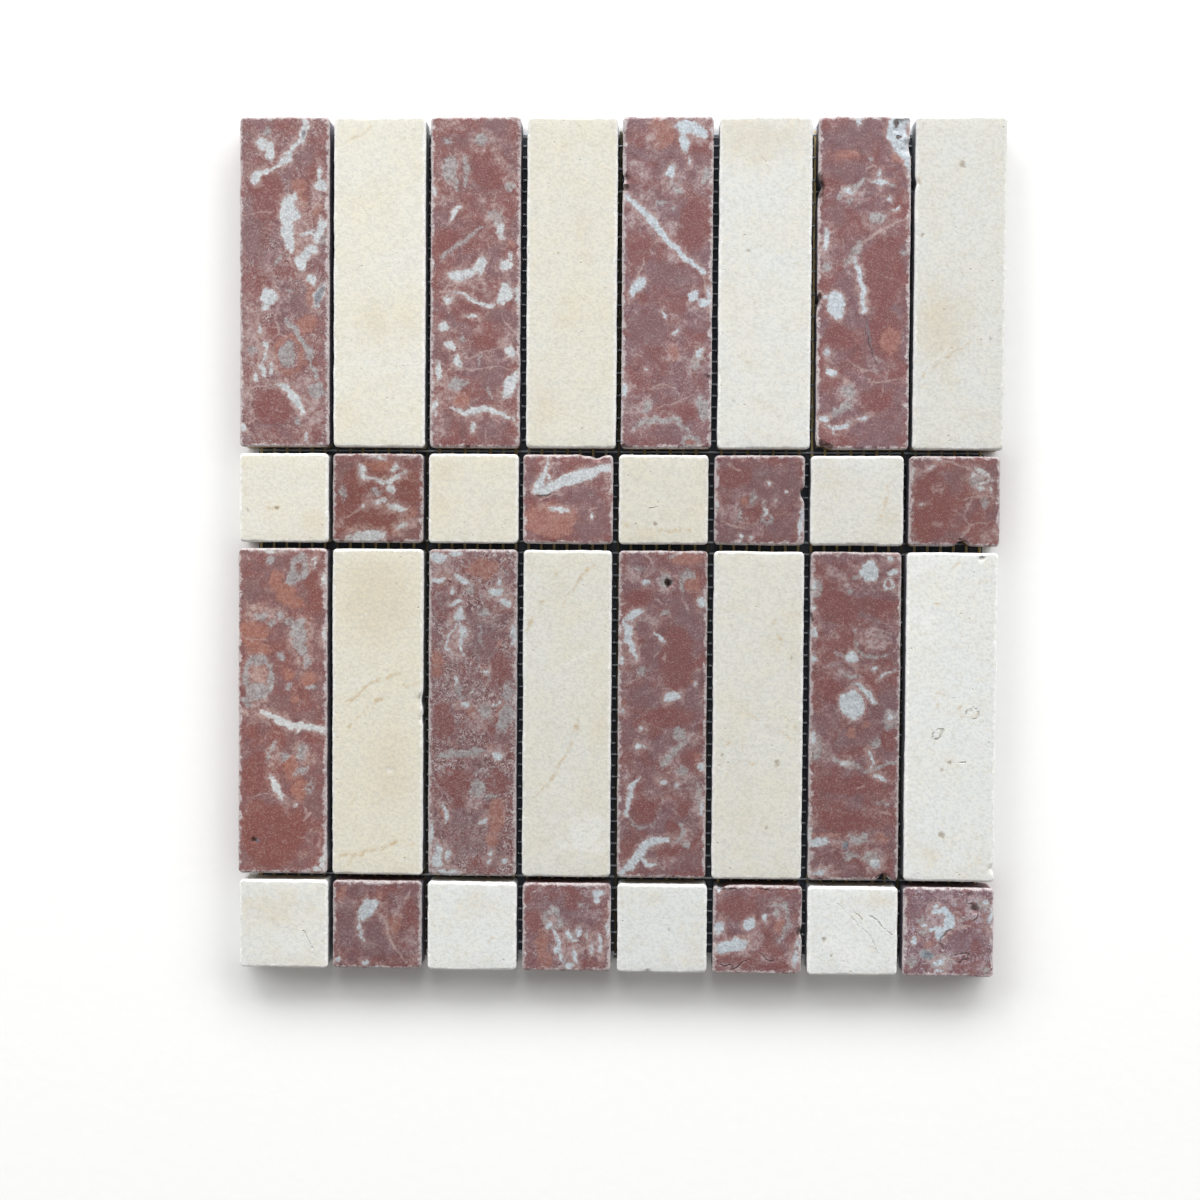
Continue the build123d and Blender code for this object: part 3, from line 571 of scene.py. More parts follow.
        "crack": bands((0.5, (7.4, 13.4), (6.8, 10.6), (9.6, 8.6), (10, 5.6), (8.4, 4.2)),
            (0.5, (0.8, 0.8), (-1.6, -1.2), (-2.6, -3.6), (-2, -6.2)),
            (0.5, (0.2, -8.8), (3.4, -8), (6.8, -8), (6.4, -10), (4.4, -11), (2.6, -10.6))),
        "pit": blobs((8.7, 8.5, 1, 0.5, -35)),
    },
}
# how light a red stone is: three levels, as judged
DEEP, MIDDLE, PALE = 0.8, 0.87, 0.94
# each red stone: how thickly it is flecked all over, how cool its red is, and how light it is
# the coolness is partly the stone's own and partly painted light: the light's cast grows cooler towards the
# lower right
RED_TONES = {
    "r1_c1": (0.75, 0.3, PALE), "r1_c3": (0.5, 0.25, PALE),
    "r1_c5": (0.45, 0.75, PALE), "r1_c7": (0.35, 0.7, PALE),
    "r2_c2": (0.3, -0.5, DEEP), "r2_c4": (0.4, 0.35, PALE),
    "r2_c6": (0.3, 0.5, DEEP), "r2_c8": (0.15, 0.1, DEEP),
    "r3_c1": (0.25, -0.3, PALE), "r3_c3": (1.0, 0.5, DEEP),
    "r3_c5": (0.45, 0.55, DEEP), "r3_c7": (0.4, 0.55, DEEP),
    "r4_c2": (0.5, 0.5, DEEP), "r4_c4": (0.7, 0.75, MIDDLE),
    "r4_c6": (0.55, 0.75, MIDDLE), "r4_c8": (0.85, 1.4, PALE),
}


CREAM_MARKINGS = {
    "r1_c2": {
        "ochre": bands((0.7, (-12.6, 47.2), (-7, 50.6), (-1, 55.6))),
        "stain": blobs((-2, -14, 4.6, 7), (9.6, -13, 4, 3), (-11, -48, 3.4, 3.4)),
    },
    "r1_c4": {
        "stain": blobs((3.6, 24, 2.8, 4.6), (-1.8, -13.2, 2.2, 1.8), (-9.6, -41, 4, 8), (4.8, 12, 2, 3),
            (-1.2, -6.4, 1.4, 1.4)),
        "speck": blobs((-4.8, 10.6, 0.4, 0.5)),
    },
    "r1_c6": {
        "stain": blobs((-2, 50, 17, 8.6)),
        "scratch": bands((0.5, (-10, 41.4), (12, 41.8))),
        "speck": blobs((-5, 11.6, 0.7, 0.6), (-3.6, -6.8, 0.5, 0.5), (-10.4, -41, 0.5, 0.5)),
    },
    "r1_c8": {
        "ochre": blobs((-15, 34.6, 0.8, 2), (-15.2, -43.6, 0.7, 1.6))
            + bands((0.6, (-13, -33), (-4, -26), (4, -19.4))),
        "stain": blobs((-6, -15, 10, 16)),
        "scratch": bands((0.7, (-14, -31.6), (-5, -24.6), (4.6, -17.4)),
            (0.6, (-9, -33.4), (2, -28.4), (11.4, -20.4))),
        "speck": blobs((0.4, 40.8, 0.8, 0.6), (10.6, -19, 0.7, 0.7), (-12.8, 16, 0.5, 0.5),
            (13.6, -16, 0.5, 0.6)),
    },
    "r2_c1": {
        "ochre": bands((0.6, (-6.8, -2.8), (-4, -4), (-1.6, -3))),
        "stain": blobs((10, -8, 5.4, 5)),
        "speck": blobs((-2.2, -3.8, 0.6, 0.5), (-13, -4.6, 0.5, 0.4)),
    },
    "r2_c3": {
        "stain": blobs((-12, -3.6, 2.6, 3.4), (5.4, -6, 1.6, 0.9), (6.4, -1.4, 3, 1.6), (-10, 9, 4, 4)),
    },
    "r2_c5": {
        "ochre": bands((0.5, (-14.8, -8.8), (-9, -9.8), (-3, -10), (2, -11), (9.6, -10.2))),
        "stain": blobs((-6, -12, 5, 2)),
        "speck": blobs((-3.6, -8, 0.5, 0.6)),
        "crack": bands((0.35, (-4.8, -2), (-1.8, -2.4))),
    },
    "r2_c7": {
        "ochre": bands((0.7, (12.6, 8), (10.8, 3.4), (9.2, -2), (7.6, -6))),
        "stain": blobs((12, -8, 4.4, 6), (-9, 9, 4, 3)),
    },
    "r3_c2": {
        "ochre": bands((1.1, (-13.6, 2), (-9, 4.4), (-5, 8.2), (1, 11.6), (9.4, 14)),
            (1.1, (-12.8, -4.2), (-9.6, -4.8), (-5.8, -1.4), (-1, 3.6), (5, 7.4), (13.2, 11.2)),
            (1.1, (-12.6, -51.4), (-4.6, -49.6), (2, -47.6), (7, -45.4), (13.4, -46.4)),
            (0.7, (-10.4, -55.2), (-8.6, -51.4)), (0.5, (-8.6, -30), (-9, -33))),
        "stain": blobs((0, 40, 14, 16), (4, -20, 7, 12)),
        "scratch": blobs((4, -20.6, 1.6, 0.7, -40)) + bands((0.5, (-6, 34), (-4.6, 34.4))),
        "crack": bands((0.3, (15.4, 8), (15.2, 3), (15.4, -3))),
    },
    "r3_c4": {
        "ochre": bands((1, (8.8, 53.2), (5, 48.4), (0.4, 42), (-3, 36.6)),
            (1, (-14.2, 29.6), (-12, 33), (-7.2, 40.6)), (0.6, (-5.4, 47.6), (-3.8, 51.2)),
            (0.9, (5.8, 2), (3.4, -4.4), (1.6, -10), (-2, -17)),
            (0.6, (-2, -17), (-7, -25.6), (-14, -32.4))),
        "stain": blobs((11.6, -5, 1.6, 3), (8, -30, 1, 3)),
        "pale": blobs((7, -42, 8, 9)),
        "scratch": blobs((-11.6, 30.2, 1.1, 0.6))
            + bands((0.8, (-6.6, 15.4), (-1, 17.6), (6.4, 20.8), (9, 23.4)), (0.5, (13, 10.4), (10, 5.8))),
        "speck": blobs((7.6, 3.2, 0.4, 0.4)),
    },
    "r3_c6": {
        "ochre": blobs((5.4, 33, 0.8, 0.9), (7.2, 26, 0.7, 2.2), (-11, -9.4, 0.9, 0.6))
            + bands((0.8, (-5, -6.6), (-4.6, -12.6), (-3.2, -16), (-0.6, -17.2)),
            (0.8, (-3.4, 1.2), (2.6, -3.2), (8.6, -6), (14.4, -9)), (0.5, (9, 0), (13, -3.6))),
        "stain": blobs((6.4, 26.4, 2.2, 3.4), (11.6, 25, 1.2, 2), (12, 16.4, 1.4, 2.8),
            (-10.8, -9.2, 2.8, 2.4), (-4, -37, 2.6, 2), (12.4, 36, 2.4, 2.4))
            + bands((2.4, (-5, -17), (-4.8, -28), (-5.4, -40))),
        "scratch": bands((0.5, (-10, 24.8), (-3, 28.4))),
        "speck": blobs((3.6, -39.6, 0.6, 0.6), (-12.4, -14, 0.7, 0.7), (6.6, -16.4, 0.9, 0.7),
            (11.6, 20, 0.5, 0.7)),
        "crack": bands((0.35, (-10.6, 8), (-7.6, 3.6))),
    },
    "r3_c8": {
        "ochre": blobs((-14.4, 47.4, 0.7, 1.6)) + rings((5.6, 2.4, 3, 2.2, 0.5, 20),
            (-4, 6.6, 1.6, 2, 0.45)) + bands((0.6, (-6.6, 40.6), (-4, 39.6), (-1.6, 38.2)),
            (0.6, (-0.6, 51.6), (2.4, 53.6), (6.4, 53.4)), (0.4, (-5.4, 34.4), (-2, 33))),
        "stain": blobs((9.6, -52, 3, 2.6), (-8, -48, 3.6, 3)),
        "pale": blobs((-11, 52, 4.2, 4), (-11, 32, 4.2, 5)),
        "speck": blobs((-2.9, -41, 0.7, 1), (-0.4, -15.8, 0.8, 0.7), (-2.8, -18.4, 0.5, 0.6),
            (13.8, -8.2, 0.5, 0.5)),
        "crack": blobs((10, 55.6, 1, 0.7)) + rings((7, 1.4, 1.8, 1.6, 0.4), (-4.2, -6, 1.4, 1.9, 0.4, -30))
            + bands((0.4, (2.4, -14.6), (5.4, -15.6))),
    },
    "r4_c1": {
        "stain": blobs((-5, 5, 10, 7), (10, 6, 3, 2.4)),
        "crack": bands((0.3, (6.6, -2.6), (8.6, -5.4), (10.4, -8.6))),
    },
    "r4_c3": {
        "ochre": bands((0.5, (8.8, -3.4), (6.2, -5.6))),
        "stain": blobs((2, 8, 6, 4)),
    },
    "r4_c5": {
        "stain": blobs((11.8, -6, 1.4, 2.4), (-7, 12.4, 5, 1.6)),
        "scratch": bands((0.5, (-2, -2), (0.4, -1.4))),
        "speck": blobs((2.2, -1, 0.4, 0.4)),
    },
    "r4_c7": {
        "stain": blobs((7, 11, 5, 2.6)),
        "pale": blobs((0, -8, 9, 5)),
        "scratch": bands((0.7, (-4, 8.4), (0.6, 3.4), (4.8, -0.8))),
        "speck": blobs((-9.8, -3.4, 0.5, 0.5), (-7.4, -8.2, 0.7, 0.6)),
        "crack": bands((0.5, (6.2, 5.2), (9.6, 1.8), (14.2, -1.6)),
            (0.2, (-4.6, 9.4), (0, 4.4), (4.2, 0), (7.4, -3.8), (9.6, -8.8)), (0.3, (0.4, 7.8), (3.4, 4))),
    },
}
# how light a cream stone is: three levels, as judged
SHADED, PLAIN, BRIGHT = 0.95, 1.0, 1.05
# each cream stone: from 0, a cool white, to 1, a warm cream, and how light it is
# the warmth is partly the stone's own and partly painted light: the light's cast grows cooler towards the
# lower right
CREAM_TONES = {
    "r1_c2": (0.7, BRIGHT), "r1_c4": (0.7, PLAIN), "r1_c6": (0.4, PLAIN), "r1_c8": (0.4, SHADED),
    "r2_c1": (0.75, BRIGHT), "r2_c3": (0.8, PLAIN), "r2_c5": (0.75, SHADED), "r2_c7": (0.45, SHADED),
    "r3_c2": (0.95, PLAIN), "r3_c4": (0.6, SHADED), "r3_c6": (0.55, SHADED), "r3_c8": (0.2, BRIGHT),
    "r4_c1": (0.35, BRIGHT), "r4_c3": (0.15, BRIGHT), "r4_c5": (0.1, PLAIN), "r4_c7": (-0.1, BRIGHT),
}

# knocks and pits that have a depth: right and up from the stone's middle, radius, depth
CHIPS = {
    "r1_c5": [(-14.8, 36.0, 1.6, 1.0), (-14.8, 32.8, 1.2, 0.7), (14.4, -32.4, 0.9, 0.5)],
    "r1_c7": [
        (-15.7, 33.4, 1.9, 1.4), (14.0, 54.0, 4.2, 0.9), (15.4, 47.0, 3.0, 1.2),
        (-14.0, -57.0, 2.4, 1.4), (-15.6, -5.6, 1.6, 0.9),
    ],
    "r1_c8": [(-15.6, 34.6, 1.4, 0.6)],
    "r2_c4": [(10.2, 15.5, 2.2, 1.3), (6.0, 15.8, 1.6, 0.6)],
    "r2_c6": [(15.7, 2.2, 2.0, 1.5)],
    "r2_c8": [(2.8, -16.0, 1.9, 2.6)],
    "r3_c1": [(-10.1, -46.0, 1.2, 0.6)],
    "r3_c2": [(16.2, 4.4, 2.4, 0.7), (16.0, -2.0, 1.6, 0.5), (4.0, -20.6, 1.2, 0.25)],
    "r3_c5": [(1.8, 46.2, 1.3, 1.6)],
    "r3_c7": [(10.7, -57.3, 1.9, 2.4)],
    "r3_c8": [(10.0, 55.8, 1.2, 0.6), (15.6, -53.0, 1.6, 0.8)],
    "r4_c5": [(-5.0, -15.6, 1.1, 0.6)],
    "r4_c6": [(-12.8, 15.0, 1.8, 1.5), (15.4, -0.6, 1.7, 0.7)],
    "r4_c8": [(9.2, 8.2, 1.7, 0.8), (7.4, 13.4, 1.0, 0.5)],
}


def value_noise(x, y, cell, seed):
    """Smooth noise from -1 to 1 that changes over about one cell."""
    table = np.random.default_rng(seed).uniform(-1, 1, (NOISE_SIDE, NOISE_SIDE))
    u, v = x / cell + NOISE_START_X, y / cell + NOISE_START_Y
    i, j = np.floor(u).astype(int), np.floor(v).astype(int)
    fu, fv = u - i, v - j
    fu, fv = fu * fu * (3 - 2 * fu), fv * fv * (3 - 2 * fv)
    i, j, ni, nj = i % NOISE_SIDE, j % NOISE_SIDE, (i + 1) % NOISE_SIDE, (j + 1) % NOISE_SIDE
    low = table[i, j] * (1 - fu) + table[ni, j] * fu
    high = table[i, nj] * (1 - fu) + table[ni, nj] * fu
    return low * (1 - fv) + high * fv


def waves(level, heights_and_lengths, x, y, seed):
    """The level, with waves of noise on it."""
    for number, (height, length) in enumerate(heights_and_lengths):
        level = level + height * value_noise(x, y, length, seed + number)
    return level


def row_and_column(place):
    """The numbers in a place such as r1_c5."""
    row, column = place.split("_")
    return int(row[1:]), int(column[1:])


# The stones' shapes

def grid_lines(half, spacing):
    """Places of the grid's lines across a stone: close together along its edges, even between."""
    edge = np.array(EDGE_ROWS)
    count = max(2, round(2 * (half - CORNER_RADIUS) / spacing))
    middle = np.linspace(-half + CORNER_RADIUS, half - CORNER_RADIUS, count + 1)[1:-1]
    return np.concatenate([-half + edge, middle, half - edge[::-1]])


def worn_outline(x, y, a, b):
    """Bends the grid's square corners into round ones."""
    u = np.clip((abs(x) - (a - CORNER_RADIUS)) / CORNER_RADIUS, 0, 1)
    v = np.clip((abs(y) - (b - CORNER_RADIUS)) / CORNER_RADIUS, 0, 1)
    corner = (u > 0) & (v > 0)
    round_x = np.sign(x) * (a - CORNER_RADIUS + CORNER_RADIUS * u * np.sqrt(1 - v * v / 2))
    round_y = np.sign(y) * (b - CORNER_RADIUS + CORNER_RADIUS * v * np.sqrt(1 - u * u / 2))
    return np.where(corner, round_x, x), np.where(corner, round_y, y)


def inset(x, y, a, b):
    """Distance in from the outline, and the direction that leads in."""
    qx, qy = abs(x) - (a - CORNER_RADIUS), abs(y) - (b - CORNER_RADIUS)
    out_x, out_y = np.maximum(qx, 0), np.maximum(qy, 0)
    outside = np.hypot(out_x, out_y)
    distance = CORNER_RADIUS - outside - np.minimum(np.maximum(qx, qy), 0)
    safe = np.where(outside > 0, outside, 1)
    along_x = np.where(outside > 0, out_x / safe, np.where(qx > qy, 1.0, 0.0))
    along_y = np.where(outside > 0, out_y / safe, np.where(qx > qy, 0.0, 1.0))
    return np.maximum(distance, 0), -np.sign(x) * along_x, -np.sign(y) * along_y


def chip_floor(x, y, chips, seed):
    """How far below the face the knocks reach at each point."""
    depth = np.zeros(x.shape)
    for number, (cx, cy, radius, deep) in enumerate(chips):
        ragged = 1 + CHIP_RAGGED * value_noise(x, y, CHIP_LENGTH, seed + number)
        q = np.hypot(x - cx, y - cy) / (radius * ragged)
        depth = np.maximum(depth, deep * np.sqrt(np.clip(1 - q * q, 0, 1)))
    return depth


def outline_wear(x, y, chips, seed):
    """How far in the outline is worn at each point: a little all round, and more at the knocks."""
    wear = np.maximum(waves(WEAR, WEAR_WAVES, x, y, seed), 0)
    for cx, cy, reach, deep in chips:
        wear = wear + OUTLINE_BITE * deep * np.exp(-((x - cx) ** 2 + (y - cy) ** 2) / reach**2)
    return wear


def face_drop(x, y, depth_in, fade, seed):
    """How far the worn face lies below the flat one: its arris, a slight pillow, and a roughness."""
    radius = ARRIS_RADIUS * waves(1, ARRIS_WAVES, x, y, seed + 3)
    lack = np.clip(1 - depth_in / radius, 0, 1)
    arris = radius * (1 - np.sqrt(1 - lack**2))
    pillow = PILLOW_DEPTH * np.exp(-((depth_in / PILLOW_REACH) ** 2))
    pillow = pillow + SWELL_DEPTH * (1 + value_noise(x, y, SWELL_LENGTH, seed + 5))
    rough = ROUGH_DEPTH * (1 + value_noise(x, y, ROUGH_LENGTH, seed + 6))
    rough = rough + EDGE_ROUGH_DEPTH * fade * (1 + value_noise(x, y, EDGE_ROUGH_LENGTH, seed + 7))
    return arris, pillow, rough


def rim_places(nx, ny):
    """Grid places round the edge of the face, in order."""
    rim = [(i, 0) for i in range(nx)] + [(nx - 1, j) for j in range(1, ny)]
    rim += [(i, ny - 1) for i in range(nx - 2, -1, -1)] + [(0, j) for j in range(ny - 2, 0, -1)]
    return tuple(np.array(rim).T)


def stone_walls(edge, inward, across, low_z, seed):
    """Rows of points from the arris straight down, a little uneven, to a broken back edge and the back."""
    in_x, in_y = inward
    walls = []
    back = low_z + BACK_ROUND
    for share in WALL_ROWS:
        uneven = value_noise(across, WALL_ROW_SHIFT * share + edge[:, 2], WALL_LENGTH, seed + 30)
        hollow = WALL_HOLLOW * (1 + uneven) * (share < 1)
        level = edge[:, 2] * (1 - share) + back * share
        walls.append(np.stack([edge[:, 0] + in_x * hollow, edge[:, 1] + in_y * hollow, level], -1))
    for reach, level in ((BACK_BREAK, low_z + BACK_BREAK), (BACK_ROUND, low_z), (BACK_RING, low_z)):
        row = edge.copy()
        row[:, 0] += in_x * reach
        row[:, 1] += in_y * reach
        row[:, 2] = level
        walls.append(row)
    return walls


def stone_points(low, high, spacing, chips, seed):
    """The stone's grid of face points and its rows of wall points, in x and y from its middle."""
    a, b = (high[0] - low[0]) / 2, (high[1] - low[1]) / 2
    grid_x, grid_y = np.meshgrid(grid_lines(a, spacing), grid_lines(b, spacing), indexing="ij")
    x, y = worn_outline(grid_x, grid_y, a, b)
    depth_in, in_x, in_y = inset(x, y, a, b)
    wear = outline_wear(x, y, chips, seed)
    fade = np.exp(-((depth_in / EDGE_ROUGH_REACH) ** 2))
    arris, pillow, rough = face_drop(x, y, depth_in, fade, seed)
    z = high[2] - arris - pillow - rough
    z = np.minimum(z, high[2] - chip_floor(x, y, chips, seed + 20))
    face = np.stack([x + in_x * wear * fade, y + in_y * wear * fade, z], -1)
    rim = rim_places(*x.shape)
    walls = stone_walls(face[rim], (in_x[rim], in_y[rim]), x[rim] + y[rim], low[2], seed)
    return face, walls, rim, depth_in, (-in_x[rim], -in_y[rim])


def joint_shade(walls, outward, top, place):
    """How much painted shade each wall point gets: in the joints, but not on walls that face up the sheet.
    """
    row, column = row_and_column(place)
    out_x, out_y = outward
    faces_joint = np.maximum(out_x, 0) * (column < COLUMNS) + np.maximum(-out_x, 0) * (column > 1)
    faces_joint = faces_joint + np.maximum(-out_y, 0) * (row < ROWS)
    shade = []
    for points in walls:
        down = np.clip((top - points[:, 2] - SHADE_START) / SHADE_RUN, 0, 1)
        shade.append(np.clip(faces_joint, 0, 1) * down * down * (3 - 2 * down))
    return np.concatenate(shade), np.tile(np.maximum(-out_y, 0), len(walls))


def stone_faces(nx, ny, rim, wall_rows):
    """Quads over the face, quads down the walls, and one flat back."""
    at = np.arange(nx * ny).reshape(nx, ny)
    top = np.stack([at[:-1, :-1], at[1:, :-1], at[1:, 1:], at[:-1, 1:]], -1).reshape(-1, 4)
    loop = at[rim]
    count = len(loop)
    sides = []
    for row in range(wall_rows):
        lower = nx * ny + row * count + np.arange(count)
        sides.append(np.stack([loop, lower, np.roll(lower, -1), np.roll(loop, -1)], -1))
        loop = lower
    return top, np.concatenate(sides), loop[::-1]


def bend(local, seed):
    """The small sideways shifts, in millimetres, that make the markings' outlines uneven."""
    return waves(0, BEND_WAVES, local[:, 0], local[:, 1], seed)


def put_field(mesh, name, values):
    made = mesh.attributes.new(name, "FLOAT", "POINT")
    made.data.foreach_set("value", np.asarray(values, dtype=np.float32))


def put_vector(mesh, name, values):
    made = mesh.attributes.new(name, "FLOAT_VECTOR", "POINT")
    made.data.foreach_set("vector", np.asarray(values, dtype=np.float32).ravel())


def put_markings(mesh, colour, place, local, back_ring, seed):
    """The stone's markings and tones, as fields over its points."""
    kinds = RED_KINDS if colour == "red" else CREAM_KINDS
    markings = (RED_MARKINGS if colour == "red" else CREAM_MARKINGS)[place]
    bent_x = local[:, 0] + bend(local, seed + 40)
    bent_y = local[:, 1] + bend(local, seed + 50)
    for kind in kinds:
        field = np.full(len(local), -FIELD_LIMIT)
        for shape_field, numbers in markings.get(kind, []):
            field = np.maximum(field, shape_field(bent_x, bent_y, *numbers))
        field[back_ring] = -FIELD_LIMIT
        put_field(mesh, kind, np.clip(field, -FIELD_LIMIT, FIELD_LIMIT))
    names = ("busy", "cool", "light") if colour == "red" else ("warm", "light")
    tones = RED_TONES[place] if colour == "red" else CREAM_TONES[place]
    for name, value in zip(names, tones):
        put_field(mesh, name, np.full(len(local), value))


def build_stone(node, colour, place, spacing):
    """A dense worn stone where the node is, with its markings held as fields over its points."""
    low, high = (np.array(corner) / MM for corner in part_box(node))
    row, column = row_and_column(place)
    # the noises on a stone are drawn with this number and those that follow it
    seed = 100 * row + 10 * column + 7
    face, walls, rim, depth_in, outward = stone_points(low, high, spacing, CHIPS.get(place, []), seed)
    middle = (low + high) / 2
    nx, ny = face.shape[:2]
    local = np.concatenate([face.reshape(-1, 3)] + walls) - (0, 0, middle[2])
    top, sides, back = stone_faces(nx, ny, rim, len(walls))
    mesh = bpy.data.meshes.new(f"{colour}_stone_{place}")
    faces = top.tolist() + sides.tolist() + [back.tolist()]
    mesh.from_pydata(((local + middle) * MM).tolist(), [], faces)
    smooth = np.ones(len(mesh.polygons), dtype=bool)
    smooth[-1] = False
    mesh.polygons.foreach_set("use_smooth", smooth)
    arris_foot = face[rim][:, 2]
    down_walls = [np.maximum(arris_foot - wall[:, 2], 0) for wall in walls]
    rng = np.random.default_rng(seed)
    put_vector(mesh, "grain", local + rng.uniform(-GRAIN_REACH, GRAIN_REACH, 3))
    put_field(mesh, "edge", np.concatenate([depth_in.ravel()] + down_walls))
    back_ring = slice(-len(arris_foot), None)
    # the painted shade in the joints, and how far each wall faces down the sheet
    for name, values in zip(("shade", "under"), joint_shade(walls, outward, high[2], place)):
        values[back_ring] = 0
        put_field(mesh, name, np.concatenate([np.zeros(nx * ny), values]))
    put_markings(mesh, colour, place, local, back_ring, seed)
    return in_scene(mesh)


def in_scene(mesh):
    """An object of the mesh's name, put into the scene."""
    made = bpy.data.objects.new(mesh.name, mesh)
    bpy.context.scene.collection.objects.link(made)
    return made


# Materials

def srgb(red, green, blue):
    """A colour as a screen shows it, 0 to 255, in Blender's linear light."""
    parts = [c / 255 for c in (red, green, blue)]
    return tuple(c / 12.92 if c <= 0.04045 else ((c + 0.055) / 1.055) ** 2.4 for c in parts) + (1.0,)


def stone(red, green, blue):
    """A stone's colour as the photo shows it, darkened: the light brings the floor to full white."""
    return tuple(STONE_SHARE * c for c in srgb(red, green, blue)[:3]) + (1.0,)


class Shader:
    """A material's node tree, with one short call for each kind of node used here."""

    def __init__(self, name):
        self.material = bpy.data.materials.new(name)
        self.material.use_nodes = True
        self.tree = self.material.node_tree
        self.surface = self.tree.nodes["Principled BSDF"]

    def put(self, socket, value):
        if isinstance(value, bpy.types.NodeSocket):
            self.tree.links.new(value, socket)
        else:
            socket.default_value = value

    def node(self, kind, inputs, **settings):
        made = self.tree.nodes.new(kind)
        for name, value in settings.items():
            setattr(made, name, value)
        for key, value in inputs.items():
            self.put(made.inputs[key], value)
        return made

    def field(self, name):
        return self.node("ShaderNodeAttribute", {}, attribute_name=name).outputs["Fac"]

    def place(self, name="grain"):
        return self.node("ShaderNodeAttribute", {}, attribute_name=name).outputs["Vector"]

    def shifted(self, where, by):
        return self.node("ShaderNodeVectorMath", {0: where, 1: by}, operation="ADD").outputs[0]

    def noise(self, where, size, detail=2.0, roughness=0.5, warp=0.0):
        inputs = {"Vector": where, "Scale": 1 / size, "Detail": detail, "Roughness": roughness}
        return self.node("ShaderNodeTexNoise", {**inputs, "Distortion": warp}).outputs["Fac"]

    def cells(self, where, size):
        """Distance from the nearest of many scattered points."""
        return self.node("ShaderNodeTexVoronoi", {"Vector": where, "Scale": 1 / size}).outputs["Distance"]

    def math(self, operation, a, b=0.0, c=0.0):
        return self.node("ShaderNodeMath", {0: a, 1: b, 2: c}, operation=operation).outputs[0]

    def times(self, a, b):
        return self.math("MULTIPLY", a, b)

    def plus(self, a, b):
        return self.math("ADD", a, b)

    def swing(self, value, reach):
        """A noise from 0 to 1, made to run from -reach to reach."""
        return self.math("MULTIPLY_ADD", value, 2 * reach, -reach)

    def step(self, value, low, high):
        """0 below low, 1 above high, smooth between."""
        inputs = {"Value": value, "From Min": low, "From Max": high, "To Min": 0.0, "To Max": 1.0}
        return self.node("ShaderNodeMapRange", inputs, interpolation_type="SMOOTHSTEP").outputs[0]

    def scale(self, value, low, high, to_low, to_high):
        inputs = {"Value": value, "From Min": low, "From Max": high, "To Min": to_low, "To Max": to_high}
        return self.node("ShaderNodeMapRange", inputs).outputs[0]

    def mix(self, share, under, over):
        return self.node("ShaderNodeMix", {0: share, 6: under, 7: over}, data_type="RGBA").outputs[2]

    def shade(self, colour, value):
        """The colour times a number."""
        return self.node("ShaderNodeVectorMath", {0: colour, "Scale": value}, operation="SCALE").outputs[0]

    def bump(self, height):
        inputs = {"Strength": 1.0, "Distance": MM, "Height": height}
        return self.node("ShaderNodeBump", inputs).outputs[0]

    def cover(self, kind, low, high, frayed):
        """How far a kind of marking shows, from its field and a noise that frays its edges."""
        return self.step(self.plus(self.field(kind), frayed), low, high)

    def finish(self, colour, roughness, normal):
        self.put(self.surface.inputs["Base Color"], colour)
        self.put(self.surface.inputs["Roughness"], roughness)
        self.put(self.surface.inputs["Normal"], normal)
        self.surface.inputs["Specular IOR Level"].default_value = SPECULAR_LEVEL
        return self.material


class StoneShader(Shader):
    """A marble's node tree, and the noises that its steps share."""

    def __init__(self, name, patch, mottle, tooth, fray):
        super().__init__(name)
        self.grain = self.place()
        self.patch = self.apart((5.0, 55.0, 9.0), *patch)
        self.mottle = self.apart((3.0, 8.0, 40.0), *mottle)
        self.tooth = self.apart((44.0, 4.0, 14.0), *tooth)
        # the edges of every marking are frayed by the same two noises, in millimetres
        self.fray = self.plus(self.swing(self.mottle, fray[0]), self.swing(self.tooth, fray[1]))

    def apart(self, shift, *noise):
        """A noise of its own, taken from another place in the grain."""
        return self.noise(self.shifted(self.grain, shift), *noise)

    def mark(self, ground, kind, low, high, strength, frayed, colour):
        """The ground with a kind of marking painted on it."""
        return self.mix(self.times(self.cover(kind, low, high, frayed), strength), ground, colour)

    def tint(self, ground, share, strength, colour):
        return self.mix(self.times(share, strength), ground, colour)

    def ridge(self, bent, width):
        """A thin line where a bent noise crosses its middle value."""
        return self.step(self.math("ABSOLUTE", self.math("SUBTRACT", bent, 0.5)), width, 0.0)

    def lightness_and_joint_shade(self, ground, least, most):
        """The stone's own lightness and fine grain, and the painted shade on its walls in the joints."""
        fine = self.scale(self.tooth, 0.3, 0.7, least, most)
        ground = self.shade(ground, self.times(fine, self.field("light")))
        # painted shade: blue-grey, but tan, for warm reflected light, on a wall that faces down the sheet
        wall = self.mix(self.field("under"), stone(150, 165, 184), stone(214, 180, 118))
        return self.tint(ground, self.field("shade"), SHADE_SHARE, wall)


def red_ground(s):
    """Brick, drifting to a greyer plum, clouded pinker and deeper, with thin pale wisps."""
    busy = s.field("busy")
    cloud = s.noise(s.grain, 10.0, 3.0, 0.55, 0.5)
    ground = s.mix(s.step(cloud, 0.36, 0.64), stone(145, 92, 87), stone(138, 103, 105))
    ground = s.tint(ground, s.step(s.patch, 0.5, 0.7), 0.5, stone(163, 125, 119))
    ground = s.tint(ground, s.step(s.patch, 0.48, 0.3), 0.6, stone(123, 80, 79))
    shown = s.step(s.math("MULTIPLY_ADD", busy, 0.16, s.patch), 0.5, 0.72)
    long_wisps = (9.0, 0.018, (70.0, 20.0, 4.0), 0.75)
    short_wisps = (4.0, 0.022, (15.0, 66.0, 31.0), 0.55)
    for size, width, shift, strength in (long_wisps, short_wisps):
        line = s.ridge(s.apart(shift, size, 4.0, 0.58, 1.1), width)
        ground = s.tint(ground, s.times(line, shown), strength, stone(194, 168, 162))
    return ground


